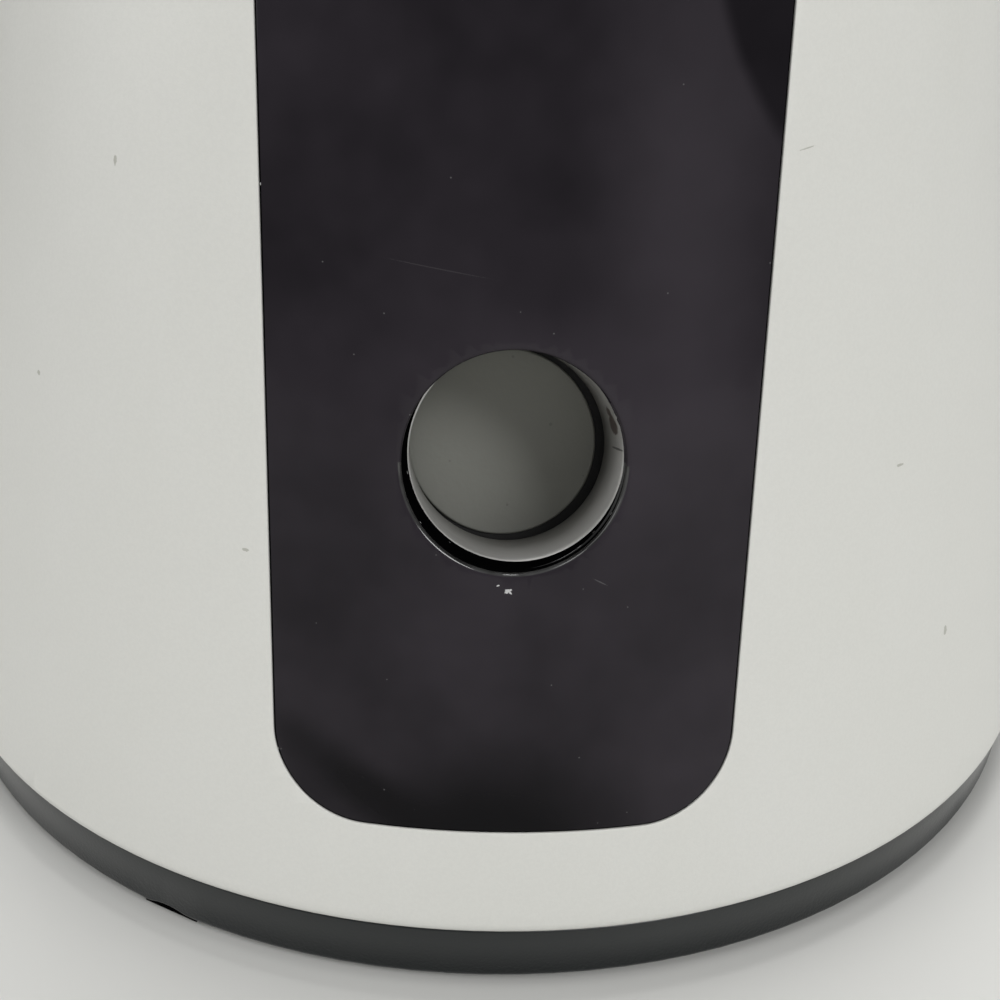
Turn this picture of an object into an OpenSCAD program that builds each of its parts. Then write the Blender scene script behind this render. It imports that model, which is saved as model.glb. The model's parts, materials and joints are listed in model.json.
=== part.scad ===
// Treat-throwing pet feeder with a camera: a tapered shell on a round base.
// Millimetres, +Z up, front towards -Y, origin on the floor under the middle of the base.

/* [Shell] */
// Radius of the shell's lower edge
base_r = 83; // [82:0.5:86]
// Height of the shell's lower edge above the floor
edge_z = 9; // [8.5:0.5:10]
// Lean of the shell's side from upright, in degrees
taper = 10; // [9.5:0.1:10.2]
// Height of the shell's top face
shell_top = 208; // [204:1:212]
// Shell wall, measured level
wall = 3; // [2.8:0.1:3.3]
// Thickness of the shell's top plate
top_t = 2.4; // [2:0.1:3]
// Height of the lid above the shell
lid_h = 12; // [11:0.5:16]
// Lid wall
lid_t = 2.4; // [2:0.1:2.8]
// Radius of the lid's rounded top edge
lid_round = 6; // [5:0.5:8]
// Gap between the lid and the shell
lid_gap = 0.3; // [0.3:0.1:0.6]

/* [Panel] */
// Width of the front panel
panel_w = 47.5; // [45:0.5:49]
// Height of the panel's lower edge
panel_bottom = 20.8; // [19:0.2:24]
// Height of the panel's upper edge
panel_top = 196; // [190:1:200]
// Thickness of the panel
panel_t = 1.6; // [1.4:0.1:1.7]
// Radius of the panel's corners
panel_corner = 9.25; // [8:0.25:13]
// Gap round the panel
panel_gap = 0.25; // [0.2:0.05:0.4]

/* [Outlet] */
// Height of the outlet's middle on the panel
outlet_z = 59.3; // [58:0.1:61]
// Radius of the outlet's bore
outlet_r = 10.7; // [10:0.1:11]
// Upward tilt of the outlet, in degrees
outlet_tilt = 18; // [17:0.5:19]
// Depth of the panel's collar round the outlet
collar_depth = 6; // [5.5:0.25:6.5]
// Wall of the collar and of the tube
tube_wall = 1.5; // [1.3:0.1:1.6]
// Gap between the tube and the shutter
shutter_gap = 1.4; // [1:0.1:1.8]
// Thickness of the shutter
shutter_t = 2; // [1.6:0.2:2.4]
// Distance from the outlet's middle to the shutter's pivot
shutter_arm = 26; // [25.5:0.5:28]

/* [Launcher] */
// Distance of the launcher drum's middle in front of the drop hole
drum_lead = 5.6; // [5:0.2:6.2]
// Inner radius of the launcher drum
drum_r = 22; // [21:0.5:22.5]
// Wall of the launcher housing
drum_wall = 2; // [1.8:0.1:2.2]
// Gap between the paddles and the drum
paddle_gap = 0.7; // [0.5:0.1:1.2]
// Number of paddles
paddle_n = 4; // [3:1:5]
// Radius of the launcher shaft
launcher_shaft_r = 2.5; // [2.2:0.1:2.8]
// Radius of the launcher motor
launcher_motor_r = 10; // [9:0.5:10.5]
// Length of the launcher motor
launcher_motor_len = 27; // [24:1:30]

/* [Metering] */
// Inner radius of the hopper
hopper_r = 36; // [35.5:0.25:36.5]
// Distance of the hopper's middle behind the shell's axis
hopper_y = 6; // [5.5:0.25:6.5]
// Hopper wall
hopper_wall = 1.6; // [1.4:0.1:1.8]
// Distance from the hopper's middle to the drop hole
drop_pitch = 25; // [24.5:0.25:25.5]
// Radius of the drop hole
drop_r = 9.5; // [9:0.25:9.75]
// Height of the metering wheel
wheel_h = 14; // [12:0.5:18]
// Number of vanes on the metering wheel
vane_n = 6; // [4:2:6]
// Radius of the metering shaft
meter_shaft_r = 3; // [2.6:0.1:3.4]
// Gear module
gear_module = 1; // [0.98:0.01:1.01]
// Teeth on the metering gear
gear_teeth = 24; // [23:1:25]
// Teeth on the drive pinion
pinion_teeth = 14; // [14:1:15]
// Radius of the gear motor
gear_motor_r = 12.5; // [11.5:0.5:13]
// Length of the gear motor
gear_motor_len = 44; // [40:1:50]

/* [Base and deck] */
// Height of the feet below the base
foot_h = 0.8; // [0.7:0.1:1.4]
// Radius of a foot
foot_r = 7; // [6:0.5:8]
// Floor thickness of the base
tray_t = 3; // [2.6:0.2:3.4]
// Height of the deck's underside
deck_z = 84; // [83.5:0.5:86]
// Thickness of the deck
deck_t = 3; // [2.6:0.2:3.4]
// Room for the gears between the deck and the hopper
gear_room = 11; // [10.5:0.5:13]
// Height of the main board's underside
board_z = 14; // [13:0.5:15]

/* [Camera and sound] */
// Height of the camera on the panel
camera_z = 165; // [163:1:168]
// Radius of the camera window
window_r = 11; // [10.5:0.25:11.5]
// Distance of the status light below the camera
status_drop = 25; // [22:1:29]
// Height of the speaker
speaker_z = 60; // [59:0.5:61]
// Radius of the speaker
speaker_r = 22; // [20:0.5:22.5]

/* [Hidden] */
$fn = 64;

// Clearances: a sliding fit, a running shaft, and room between pieces
fit = 0.1;
run = 0.04;
room = 0.3;
over = 1;

// Shell: outer radius at a height
function shell_r(z) = base_r - (z - edge_z) * tan(taper);
function inner_r(z) = shell_r(z) - wall;
lip_cut = 0.5;
plate_z = shell_top - top_t;
boss_r = 4.5;
boss_z0 = edge_z + 5;
boss_z1 = edge_z + 31;
boss_ring = base_r - 12;
boss_angles = [45, 135, 225, 315];
rib_t = 2;

// Lid
lid_z0 = shell_top + lid_gap;
lid_top = lid_z0 + lid_h;
spigot_drop = 7;
seal_w = 1.5;
seal_h = 2.5;
spigot_r = hopper_r - seal_w - 2 * fit;

// Base
tray_r = base_r - 1;
tray_floor = foot_h + tray_t;
groove_h = 1;
groove_d = 1.5;
tray_bevel = 0.8;
register_h = 4;
register_t = 2.2;
register_r = inner_r(edge_z + register_h) - room;
notch_angle = 242.4;
notch_w = 7.6;
notch_h = 1.2;
notch_depth = 3;
notch_r = (pow(notch_w / 2, 2) + pow(notch_h, 2)) / (2 * notch_h);
foot_ring = base_r - 27;
foot_seat = 1;
post_r = 4;
post_ring = base_r - 25;
post_angles = [35, 145, 215, 325];
deck_r = inner_r(deck_z + deck_t) - 1;
deck_top = deck_z + deck_t;

// Screws
screw_r = 1.5;
small_r = 1;
screw_bite = 8;
small_bite = 5;
pilot = 1;

// Hopper and metering
floor_t = 3;
floor_z = deck_top + gear_room;
floor_top = floor_z + floor_t;
hopper_top = plate_z - fit;
leg_r = 4;
leg_ring = hopper_r - 5;
leg_angles = [45, 135, 225, 315];
drop_y = hopper_y - drop_pitch;
wheel_z = floor_top + room;
wheel_top = wheel_z + wheel_h;
wheel_r = hopper_r - 0.4;
hub_r = 11;
vane_t = 2.4;
nut_h = 4;
nut_r = 6;
deflector_t = 2;
deflector_h = 12;
deflector_w = 2 * drop_r + 6;
gear_z = deck_top + 3;
gear_w = 5;
gear_pitch_r = gear_module * gear_teeth / 2;
pinion_pitch_r = gear_module * pinion_teeth / 2;
pinion_y = hopper_y + gear_pitch_r + pinion_pitch_r;
pressure_a = 20;
addendum = 0.8;
dedendum = 1.25;
backlash = 0.15;
bush_r = 5;
motor_shaft_r = 2;
motor_boss_r = 3.5;
motor_screw_x = 8.5;
motor_step = 0.6;
motor_tail_r = 4;
motor_tail = 3;
motor_bore = 10;
pinion_proud = 0.5;
bush_rim = 1.5;
chute_r = drop_r + room;
chute_wall = 1.5;

// Outlet frame: its y runs inwards along the bore, its z is square to the bore
outlet_y = -shell_r(outlet_z);
function out_y(s, t) = outlet_y + s * cos(outlet_tilt) + t * sin(outlet_tilt);
function out_z(s, t) = outlet_z - s * sin(outlet_tilt) + t * cos(outlet_tilt);
collar_r = outlet_r + fit + tube_wall;
tube_s0 = collar_depth + 2 * fit;
ear_x = outlet_r + 8;
ear_r = 3.5;
ear_s = tube_s0 + 5;
ear_t = 2;
ear_bite = 3;
// The launcher stands in front of the drop hole, and the tube runs from the collar to its shutter
drum_out = drum_r + drum_wall;
drum_t = drum_r - outlet_r;
drum_y = drop_y - drum_lead;
drum_s = (drum_y - outlet_y - drum_t * sin(outlet_tilt)) / cos(outlet_tilt);
drum_z = out_z(drum_s, drum_t);
channel_s = drum_s - drum_out - 1;
shutter_back = channel_s - 0.8;
shutter_s = shutter_back - shutter_t;
tube_s1 = shutter_s - shutter_gap;
shutter_r = outlet_r + tube_wall;
shutter_face_r = outlet_r - 0.2;
shutter_face_t = 0.6;
shutter_face_x = -0.75;
shutter_hub_r = 5;
shutter_hub_h = 2;
shutter_shaft_r = 2;
housing_x = outlet_r + drum_wall;
cover_x = outlet_r + fit;
lug_r = 3;
lug_out = 2.5;
lug_ring = drum_out + lug_out;
lug_high = 20;
lug_low = 60;
lug_in = 6.5;
lugs = [[drum_s + lug_ring * cos(lug_high), drum_t + lug_ring * sin(lug_high)],
    [drum_s + lug_ring * cos(lug_low), drum_t - lug_ring * sin(lug_low)],
    [channel_s + lug_in, -outlet_r - drum_wall - lug_out]];
hanger_r = 3.5;
hanger_x = 7;
hanger_front = 16;
hanger_back = 21.5;
hangers = [[hanger_x, drum_y - hanger_front], [-hanger_x, drum_y - hanger_front],
    [-hanger_x, drum_y + hanger_back]];
paddle_r = drum_r - paddle_gap;
paddle_hub_r = 6;
paddle_t = 2;
hub_proud = 0.2;
launcher_bush_r = 5;
launcher_bush_rim = 2;
launcher_bush_t = 1.5;
shaft_reach = 10;
paddle_x = outlet_r - 0.6;
flange_x = cover_x + drum_wall;
flange_t = 2;
flange_w = 10;
motor_screw_t = launcher_motor_r + lug_out;
servo_w = 12;
servo_h = 22;
servo_len = 22;
servo_top = 5;
servo_s = shutter_back + shutter_hub_h + 0.4;
servo_ear = 4;
servo_ear_s = servo_s + 4;
servo_ear_t = 2;
servo_bore = 6.5;
servo_frame = 2;
bracket_t = 2;

// Camera frame: its y runs inwards, square to the panel
camera_y = -shell_r(camera_z);
window_s = 1.3;
window_t = 1.5;
window_rim = 3;
camera_pad = 6;
aperture_r = window_r - 1.5;
bezel_r = 6.8;
barrel_r = 6.5;
lens_r = 5.2;
camera_board_s = 16;
camera_board_t = 1.6;
camera_board_w = 48;
camera_board_h = 24;
camera_post_x = 17;
camera_post_r = 2.5;
lens_s = window_s + window_t + 0.6;
lens_t = 2;
lens_fn = 256;
lamp_r = 1.1;
lamp_ring = (aperture_r + bezel_r) / 2;
status_z = camera_z - status_drop;
status_r = 1.5;
status_sunk = 0.2;
status_len = 8;

// Main board and what stands on it
board_t = 1.6;
board_x = post_ring * cos(post_angles[0]) - post_r - 3.5;
board_y1 = post_ring;
board_top = board_z + board_t;
board_inset = 4;
standoff_r = 3;
ribbon_x = 19.5;
ribbon_w = 7;
ribbon_t = 0.4;
ribbon_bend = 4;
plug_h = 3;
plug_l = 5;
plug_side = 1;
ribbon_run = 4.8;
ribbon_low = board_top + plug_h / 2;
ribbon_y = camera_y + (camera_board_s + camera_board_t + plug_h / 2) * cos(taper)
    - camera_board_h / 2 * sin(taper);
ribbon_top = camera_z - (camera_board_s + camera_board_t + plug_h) * sin(taper)
    - camera_board_h / 2 * cos(taper) - fit;
board_y0 = ribbon_y + ribbon_bend + ribbon_run;
shield_at = [-14, 8];
shield_size = [32, 26, 3];
shield_t = 0.5;
chip_size = [14, 14, 1.4];
small_chip_size = [10, 8, 1.2];
small_chip_x = 18;
small_chip_ys = [-8, 4, 16];
capacitor_r = 4;
capacitor_h = 8;
capacitor_xs = [-26, -16, -6];
capacitor_y = 40;
socket_size = [6, 10, 6];
socket_inset = 4;
socket_ys = [-10, 10, 30];

// Back panel pieces
inlet_z = edge_z + 14;
inlet_r = 5;
inlet_bore_r = 3.2;
inlet_pin_r = 1;
inlet_len = 19;
inlet_head_r = 6.6;
inlet_head_t = 1.8;
inlet_deep = 12;
inlet_pin_s = 2;
inlet_end = shell_r(inlet_z + inlet_head_r) - 0.2;
inlet_pad_y = inner_r(inlet_z) - 3;
nut_t = 3;
nut_rim = 3;
button_x = 24;
button_r = 3;
button_travel = 1;
button_rim = 1.6;
button_rim_t = 1.5;
button_pad = 3;
button_end = sqrt(pow(shell_r(inlet_z), 2) - pow(button_x, 2)) - 0.4;
button_pad_y = sqrt(pow(inner_r(inlet_z), 2) - pow(button_x, 2)) - 4.5;
switch_reach = 1.5;
switch_w = 6;
switch_proud = 2.5;
switch_pin_r = 1.2;

// Speaker frame: its y runs outwards, square to the shell's back
speaker_seat = 9;
speaker_flange_t = 2;
speaker_depth = 11;
magnet_r = 11;
grille_r = 1.3;
grille_step = 5;
speaker_lip = 4;
speaker_bolt_in = 1.5;

module along_y(r, y0, y1) {
    translate([0, y0, 0]) rotate([-90, 0, 0]) cylinder(r = r, h = y1 - y0);
}

module along_x(r, x0, x1) {
    translate([x0, 0, 0]) rotate([0, 90, 0]) cylinder(r = r, h = x1 - x0);
}

module block(low, high) {
    translate(low) cube(high - low);
}

module rounded_rect(w, h, r) {
    square([w - 2 * r, h], center = true);
    square([w, h - 2 * r], center = true);
    for (x = [-1, 1], y = [-1, 1])
        translate([x * (w / 2 - r), y * (h / 2 - r)]) circle(r);
}

module ring(r_out, r_in, h) {
    difference() {
        cylinder(r = r_out, h = h);
        translate([0, 0, -over]) cylinder(r = r_in, h = h + 2 * over);
    }
}

module around(radius, angles) {
    for (a = angles)
        rotate([0, 0, a]) translate([radius, 0, 0]) children();
}

// The space inside the shell's outer face, drawn in by a level distance
module cone_body(inset) {
    rotate_extrude()
        polygon([[0, edge_z], [shell_r(edge_z) - inset, edge_z],
            [shell_r(shell_top) - inset, shell_top], [0, shell_top]]);
}

module outlet_frame() {
    translate([0, outlet_y, outlet_z]) rotate([-outlet_tilt, 0, 0]) children();
}

module camera_frame(z) {
    translate([0, -shell_r(z), z]) rotate([-taper, 0, 0]) children();
}

module speaker_place() {
    translate([0, shell_r(speaker_z), speaker_z]) rotate([taper, 0, 0]) children();
}

module panel_prism(grow) {
    rotate([90, 0, 0]) linear_extrude(base_r + over)
        translate([0, (panel_bottom + panel_top) / 2])
            rounded_rect(panel_w + 2 * grow, panel_top - panel_bottom + 2 * grow, panel_corner + grow);
}

// A screw with its head's seat at z = 0, pointing down
module screw(r, len) {
    head_h = 1.4 * r;
    difference() {
        union() {
            cylinder(r = 1.85 * r, h = head_h);
            translate([0, 0, -len]) cylinder(r = r, h = len);
        }
        translate([0, 0, head_h / 2]) cylinder(r = 0.9 * r, h = head_h, $fn = 6);
    }
}

module grille_spots() {
    for (k = [0:2], i = [0:max(0, 6 * k - 1)])
        rotate([0, k == 0 ? 0 : 60 * i / k, 0]) translate([k * grille_step, 0, 0]) children();
}

module outer_shell() color("whitesmoke") difference() {
    union() {
        rotate_extrude()
            polygon([[shell_r(edge_z) - lip_cut, edge_z], [shell_r(edge_z + lip_cut), edge_z + lip_cut],
                [shell_r(shell_top), shell_top], [0, shell_top], [0, plate_z],
                [inner_r(plate_z), plate_z], [inner_r(edge_z), edge_z]]);
        // What stands inside the wall: bosses and seats, kept short of the outer face
        intersection() {
            cone_body(panel_t + 0.6);
            union() {
                around(boss_ring, boss_angles) {
                    translate([0, 0, boss_z0]) cylinder(r = boss_r, h = boss_z1 - boss_z0);
                    block([0, -rib_t / 2, boss_z0], [base_r - boss_ring, rib_t / 2, boss_z1]);
                }
                outlet_frame() for (x = [-ear_x, ear_x])
                    translate([x, 0, 0]) along_y(ear_r, 0, ear_s);
                camera_frame(camera_z) {
                    along_y(window_r + window_rim, 0, camera_pad);
                    for (x = [-camera_post_x, camera_post_x])
                        translate([x, 0, 0]) along_y(camera_post_r, 0, camera_board_s);
                }
                speaker_place() along_y(speaker_r + over, -speaker_seat, 0);
                translate([0, 0, inlet_z]) along_y(inlet_head_r + 2, inlet_pad_y, base_r);
                translate([button_x, 0, inlet_z]) along_y(button_r + button_pad, button_pad_y, base_r);
            }
        }
    }
    // Pocket for the panel
    intersection() {
        difference() {
            panel_prism(panel_gap);
            cone_body(panel_t + fit);
        }
        translate([0, 0, panel_bottom - 2 * over])
            cylinder(r = base_r + over, h = panel_top - panel_bottom + 4 * over);
    }
    translate([0, hopper_y, plate_z - over]) cylinder(r = hopper_r, h = top_t + 2 * over);
    outlet_frame() {
        along_y(collar_r + room, -collar_r, tube_s1);
        for (x = [-ear_x, ear_x])
            translate([x, 0, 0]) along_y(screw_r, ear_s - ear_bite - pilot, ear_s + over);
    }
    camera_frame(camera_z) {
        along_y(window_r + fit, -over, window_s + window_t);
        along_y(aperture_r + fit, -over, camera_pad + over);
        for (x = [-camera_post_x, camera_post_x]) translate([x, 0, 0])
            along_y(small_r, camera_board_s - small_bite - pilot, camera_board_s + over);
    }
    camera_frame(status_z) along_y(status_r + fit / 2, -over, wall + 2 * over);
    speaker_place() {
        along_y(speaker_r - speaker_lip, -speaker_seat - over, -wall - over);
        grille_spots() along_y(grille_r, -speaker_seat, 4 * over);
        for (a = [0, 120, 240])
            rotate([0, a, 0]) translate([speaker_r - speaker_bolt_in, 0, 0])
                along_y(small_r, -speaker_seat - over, -speaker_seat + small_bite);
    }
    translate([0, 0, inlet_z]) {
        along_y(inlet_r + fit, inlet_pad_y - over, base_r + over);
        along_y(inlet_head_r + fit, inlet_end - inlet_head_t - fit, base_r + over);
    }
    translate([button_x, 0, inlet_z]) along_y(button_r + fit, button_pad_y - over, base_r + over);
    around(boss_ring, boss_angles)
        translate([0, 0, boss_z0 - over]) cylinder(r = screw_r, h = screw_bite + pilot + over);
}

module front_panel() color("#1c1b1d") difference() {
    union() {
        intersection() {
            panel_prism(0);
            difference() {
                cone_body(0);
                cone_body(panel_t);
            }
        }
        intersection() {
            cone_body(0);
            outlet_frame() along_y(collar_r, -collar_r, collar_depth);
        }
    }
    outlet_frame() along_y(outlet_r + fit, -2 * collar_r, collar_depth + over);
    camera_frame(camera_z) along_y(window_r + fit, -window_r, window_r);
    camera_frame(status_z) along_y(status_r + fit / 2, -window_r, window_r);
}

module base_tray() color("#3a3d3c") difference() {
    union() {
        rotate_extrude()
            polygon([[0, foot_h], [tray_r - tray_bevel, foot_h], [tray_r, foot_h + tray_bevel],
                [tray_r, edge_z - groove_h], [tray_r - groove_d, edge_z - groove_h],
                [tray_r - groove_d, edge_z], [register_r, edge_z], [register_r, edge_z + register_h],
                [register_r - register_t, edge_z + register_h], [register_r - register_t, tray_floor],
                [0, tray_floor]]);
        around(boss_ring, boss_angles)
            translate([0, 0, foot_h]) cylinder(r = boss_r, h = boss_z0 - foot_h);
        around(post_ring, post_angles)
            translate([0, 0, foot_h]) cylinder(r = post_r, h = deck_z - foot_h);
        board_corners() translate([0, 0, foot_h]) cylinder(r = standoff_r, h = board_z - foot_h);
    }
    around(boss_ring, boss_angles) {
        translate([0, 0, foot_h - over]) cylinder(r = screw_r + fit, h = boss_z0 - foot_h + 2 * over);
        translate([0, 0, foot_h - over]) cylinder(r = 2 * screw_r + fit, h = tray_t + over);
    }
    around(foot_ring, boss_angles)
        translate([0, 0, foot_h - over]) cylinder(r = foot_r + fit, h = foot_seat + over);
    around(post_ring, post_angles)
        translate([0, 0, deck_z - screw_bite - pilot]) cylinder(r = screw_r, h = screw_bite + pilot + over);
    board_corners()
        translate([0, 0, board_z - small_bite - pilot]) cylinder(r = small_r, h = small_bite + pilot + over);
    rotate([0, 0, notch_angle])
        translate([0, 0, foot_h + notch_h - notch_r]) along_x(notch_r, tray_r - notch_depth, tray_r + over);
}

module rubber_feet() color("#202020")
    around(foot_ring, boss_angles) cylinder(r = foot_r, h = foot_h + foot_seat);

module base_screws() color("silver")
    around(boss_ring, boss_angles)
        translate([0, 0, tray_floor]) mirror([0, 0, 1]) screw(screw_r, boss_z0 + screw_bite - tray_floor);

function arc(c, r, a0, a1, n = 12) =
    [for (i = [0:n]) let (a = a0 + (a1 - a0) * i / n) [c[0] + r * cos(a), c[1] + r * sin(a)]];

module lid() color("whitesmoke") {
    edge_c = [shell_r(lid_top - lid_round) - lid_round, lid_top - lid_round];
    inner_c = [edge_c[0], lid_top - lid_round];
    difference() {
        rotate_extrude()
            polygon(concat([[0, lid_z0], [shell_r(lid_z0), lid_z0]], arc(edge_c, lid_round, taper, 90),
                [[0, lid_top]]));
        rotate_extrude()
            polygon(concat([[0, lid_z0 - over], [shell_r(lid_z0) - lid_t, lid_z0 - over],
                [shell_r(lid_z0) - lid_t, lid_z0]], arc(inner_c, lid_round - lid_t, 0, 90),
                [[0, lid_top - lid_t]]));
    }
    translate([0, hopper_y, shell_top - spigot_drop])
        ring(spigot_r, spigot_r - lid_t, lid_top - lid_t / 2 - shell_top + spigot_drop);
}

module lid_seal() color("#8c9094")
    translate([0, hopper_y, shell_top - seal_h - over]) ring(spigot_r + seal_w, spigot_r, seal_h);

module legs() translate([0, hopper_y, 0]) around(leg_ring, leg_angles) children();

module hopper() color("#e8e6e0") difference() {
    union() {
        translate([0, hopper_y, floor_z]) cylinder(r = hopper_r + hopper_wall, h = hopper_top - floor_z);
        legs() translate([0, 0, deck_top]) cylinder(r = leg_r, h = gear_room + over);
    }
    translate([0, hopper_y, floor_top]) cylinder(r = hopper_r, h = hopper_top);
    translate([0, drop_y, floor_z - over]) cylinder(r = drop_r, h = floor_t + 2 * over);
    translate([0, hopper_y, floor_z - over]) cylinder(r = meter_shaft_r + run, h = floor_t + 2 * over);
    legs() translate([0, 0, deck_top - over]) cylinder(r = screw_r, h = screw_bite + over);
}

module hopper_screws() color("silver")
    legs() translate([0, 0, deck_z]) mirror([0, 0, 1]) screw(screw_r, deck_t + screw_bite - pilot);

module deflector() color("#c9c7c1") intersection() {
    translate([0, hopper_y, wheel_top + room]) cylinder(r = hopper_r, h = deflector_h);
    union() {
        block([-deflector_w / 2, hopper_y - hopper_r - over, wheel_top + room],
            [deflector_w / 2, drop_y + drop_r + 1, wheel_top + room + deflector_t]);
        translate([0, hopper_y, wheel_top + room]) intersection() {
            ring(hopper_r, hopper_r - deflector_t, deflector_h);
            block([-deflector_w / 2, -hopper_r - over, 0], [deflector_w / 2, 0, deflector_h]);
        }
    }
}

module metering_wheel() color("#d98c3a") translate([0, hopper_y, wheel_z]) difference() {
    union() {
        cylinder(r = hub_r, h = wheel_h);
        intersection() {
            cylinder(r = wheel_r, h = wheel_h);
            for (i = [0:vane_n - 1])
                rotate([0, 0, 360 * (i + 0.5) / vane_n - 90])
                    block([0, -vane_t / 2, 0], [wheel_r + over, vane_t / 2, wheel_h]);
        }
    }
    translate([0, 0, -over]) cylinder(r = meter_shaft_r + run, h = wheel_h + 2 * over);
}

module metering_shaft() color("silver")
    translate([0, hopper_y, deck_z]) cylinder(r = meter_shaft_r, h = wheel_top + nut_h - deck_z);

module wheel_nut() color("#b8b8b8") translate([0, hopper_y, wheel_top]) difference() {
    cylinder(r = nut_r, h = nut_h, $fn = 6);
    translate([0, 0, -over]) cylinder(r = meter_shaft_r + run, h = nut_h + 2 * over);
}

// Involute teeth: the half angle of a tooth at a radius, in degrees
function involute(a) = tan(a) * 180 / PI - a;
function half_tooth(n, r) =
    let (rp = gear_module * n / 2, rb = rp * cos(pressure_a), a = r > rb ? acos(rb / r) : 0)
    (PI * gear_module / 2 - backlash) / (2 * rp) * 180 / PI + involute(pressure_a) - involute(a);
function polar(r, a) = [r * cos(a), r * sin(a)];
function tooth(n, c, steps = 4) =
    let (rp = gear_module * n / 2, r0 = rp * cos(pressure_a), r1 = rp + addendum * gear_module,
        root = rp - dedendum * gear_module)
    concat([polar(root, c - half_tooth(n, r0))],
        [for (k = [0:steps]) let (r = r0 + (r1 - r0) * k / steps) polar(r, c - half_tooth(n, r))],
        [for (k = [steps:-1:0]) let (r = r0 + (r1 - r0) * k / steps) polar(r, c + half_tooth(n, r))],
        [polar(root, c + half_tooth(n, r0))]);

module gear(n, turn, bore_r) {
    difference() {
        linear_extrude(gear_w)
            polygon([for (i = [0:n - 1], p = tooth(n, turn + 360 * i / n)) p]);
        translate([0, 0, -over]) cylinder(r = bore_r, h = gear_w + 2 * over);
    }
}

module metering_gear() color("ivory")
    translate([0, hopper_y, gear_z]) gear(gear_teeth, 90, meter_shaft_r + run);

module shaft_bush() color("#b5915a") translate([0, hopper_y, deck_z]) difference() {
    union() {
        cylinder(r = bush_r, h = deck_t);
        translate([0, 0, deck_t]) cylinder(r = bush_r + bush_rim, h = gear_z - deck_top - room);
    }
    translate([0, 0, -over]) cylinder(r = meter_shaft_r + run, h = gear_room);
}

module drive_pinion() color("#d8c27a")
    translate([0, pinion_y, gear_z]) gear(pinion_teeth, 270 + 180 / pinion_teeth, motor_shaft_r + run);

module gear_motor() color("#a9adb0") translate([0, pinion_y, deck_z]) difference() {
    union() {
        translate([0, 0, -gear_motor_len]) cylinder(r = gear_motor_r - motor_step, h = gear_motor_len / 2);
        translate([0, 0, -gear_motor_len / 2]) cylinder(r = gear_motor_r, h = gear_motor_len / 2);
        cylinder(r = motor_boss_r, h = deck_t - room);
        translate([0, 0, -gear_motor_len - motor_tail]) cylinder(r = motor_tail_r, h = motor_tail);
    }
    translate([0, 0, -motor_bore]) cylinder(r = motor_shaft_r + run, h = motor_bore + deck_t);
    for (x = [-motor_screw_x, motor_screw_x])
        translate([x, 0, -small_bite - pilot]) cylinder(r = small_r, h = small_bite + pilot + over);
}

module gear_motor_shaft() color("silver")
    translate([0, pinion_y, deck_z - motor_bore + room])
        cylinder(r = motor_shaft_r, h = gear_z + gear_w + pinion_proud - deck_z + motor_bore - room);

module gear_motor_screws() color("silver")
    for (x = [-motor_screw_x, motor_screw_x])
        translate([x, pinion_y, deck_top]) screw(small_r, deck_t + small_bite);

module chassis_deck() color("#55595c") difference() {
    translate([0, 0, deck_z]) cylinder(r = deck_r, h = deck_t);
    translate([0, 0, deck_z - over]) {
        around(post_ring, post_angles) cylinder(r = screw_r + fit, h = deck_t + 2 * over);
        legs() cylinder(r = screw_r + fit, h = deck_t + 2 * over);
        for (p = hangers) translate(p) cylinder(r = screw_r + fit, h = deck_t + 2 * over);
        translate([0, drop_y, 0]) cylinder(r = chute_r + chute_wall + fit, h = deck_t + 2 * over);
        translate([0, hopper_y, 0]) cylinder(r = bush_r + run, h = deck_t + 2 * over);
        translate([0, pinion_y, 0]) cylinder(r = motor_boss_r + fit, h = deck_t + 2 * over);
        for (x = [-motor_screw_x, motor_screw_x])
            translate([x, pinion_y, 0]) cylinder(r = small_r + fit, h = deck_t + 2 * over);
        translate([ribbon_x, ribbon_y, 0])
            block([-ribbon_w / 2 - plug_side, -2, 0], [ribbon_w / 2 + plug_side, 2, deck_t + 2 * over]);
    }
}

module deck_screws() color("silver")
    around(post_ring, post_angles) translate([0, 0, deck_top]) screw(screw_r, deck_t + screw_bite);

module drum_space(r, x0, x1) {
    outlet_frame() translate([0, drum_s, drum_t]) along_x(r, x0, x1);
}

module drop_chute() color("#dcdad4") difference() {
    translate([0, drop_y, drum_z]) cylinder(r = chute_r + chute_wall, h = floor_z - fit - drum_z);
    translate([0, drop_y, drum_z - over]) cylinder(r = chute_r, h = floor_z);
    drum_space(drum_out + fit, -base_r, base_r);
}

module at_drum(x) {
    outlet_frame() translate([x, drum_s, drum_t]) children();
}

module at_lugs(x) {
    outlet_frame() for (p = lugs) translate([x, p[0], p[1]]) children();
}

// The launcher's side outline between two x values
module launcher_outline(x0, x1) {
    drum_space(drum_out, x0, x1);
    outlet_frame()
        block([x0, channel_s, -outlet_r - drum_wall], [x1, drum_s, outlet_r + drum_wall]);
    at_lugs(0) along_x(lug_r, x0, x1);
}

module servo_ears(y) {
    for (t = [servo_top + servo_ear / 2, servo_top - servo_h - servo_ear / 2])
        outlet_frame() translate([-shutter_arm, y, t]) children();
}

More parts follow.
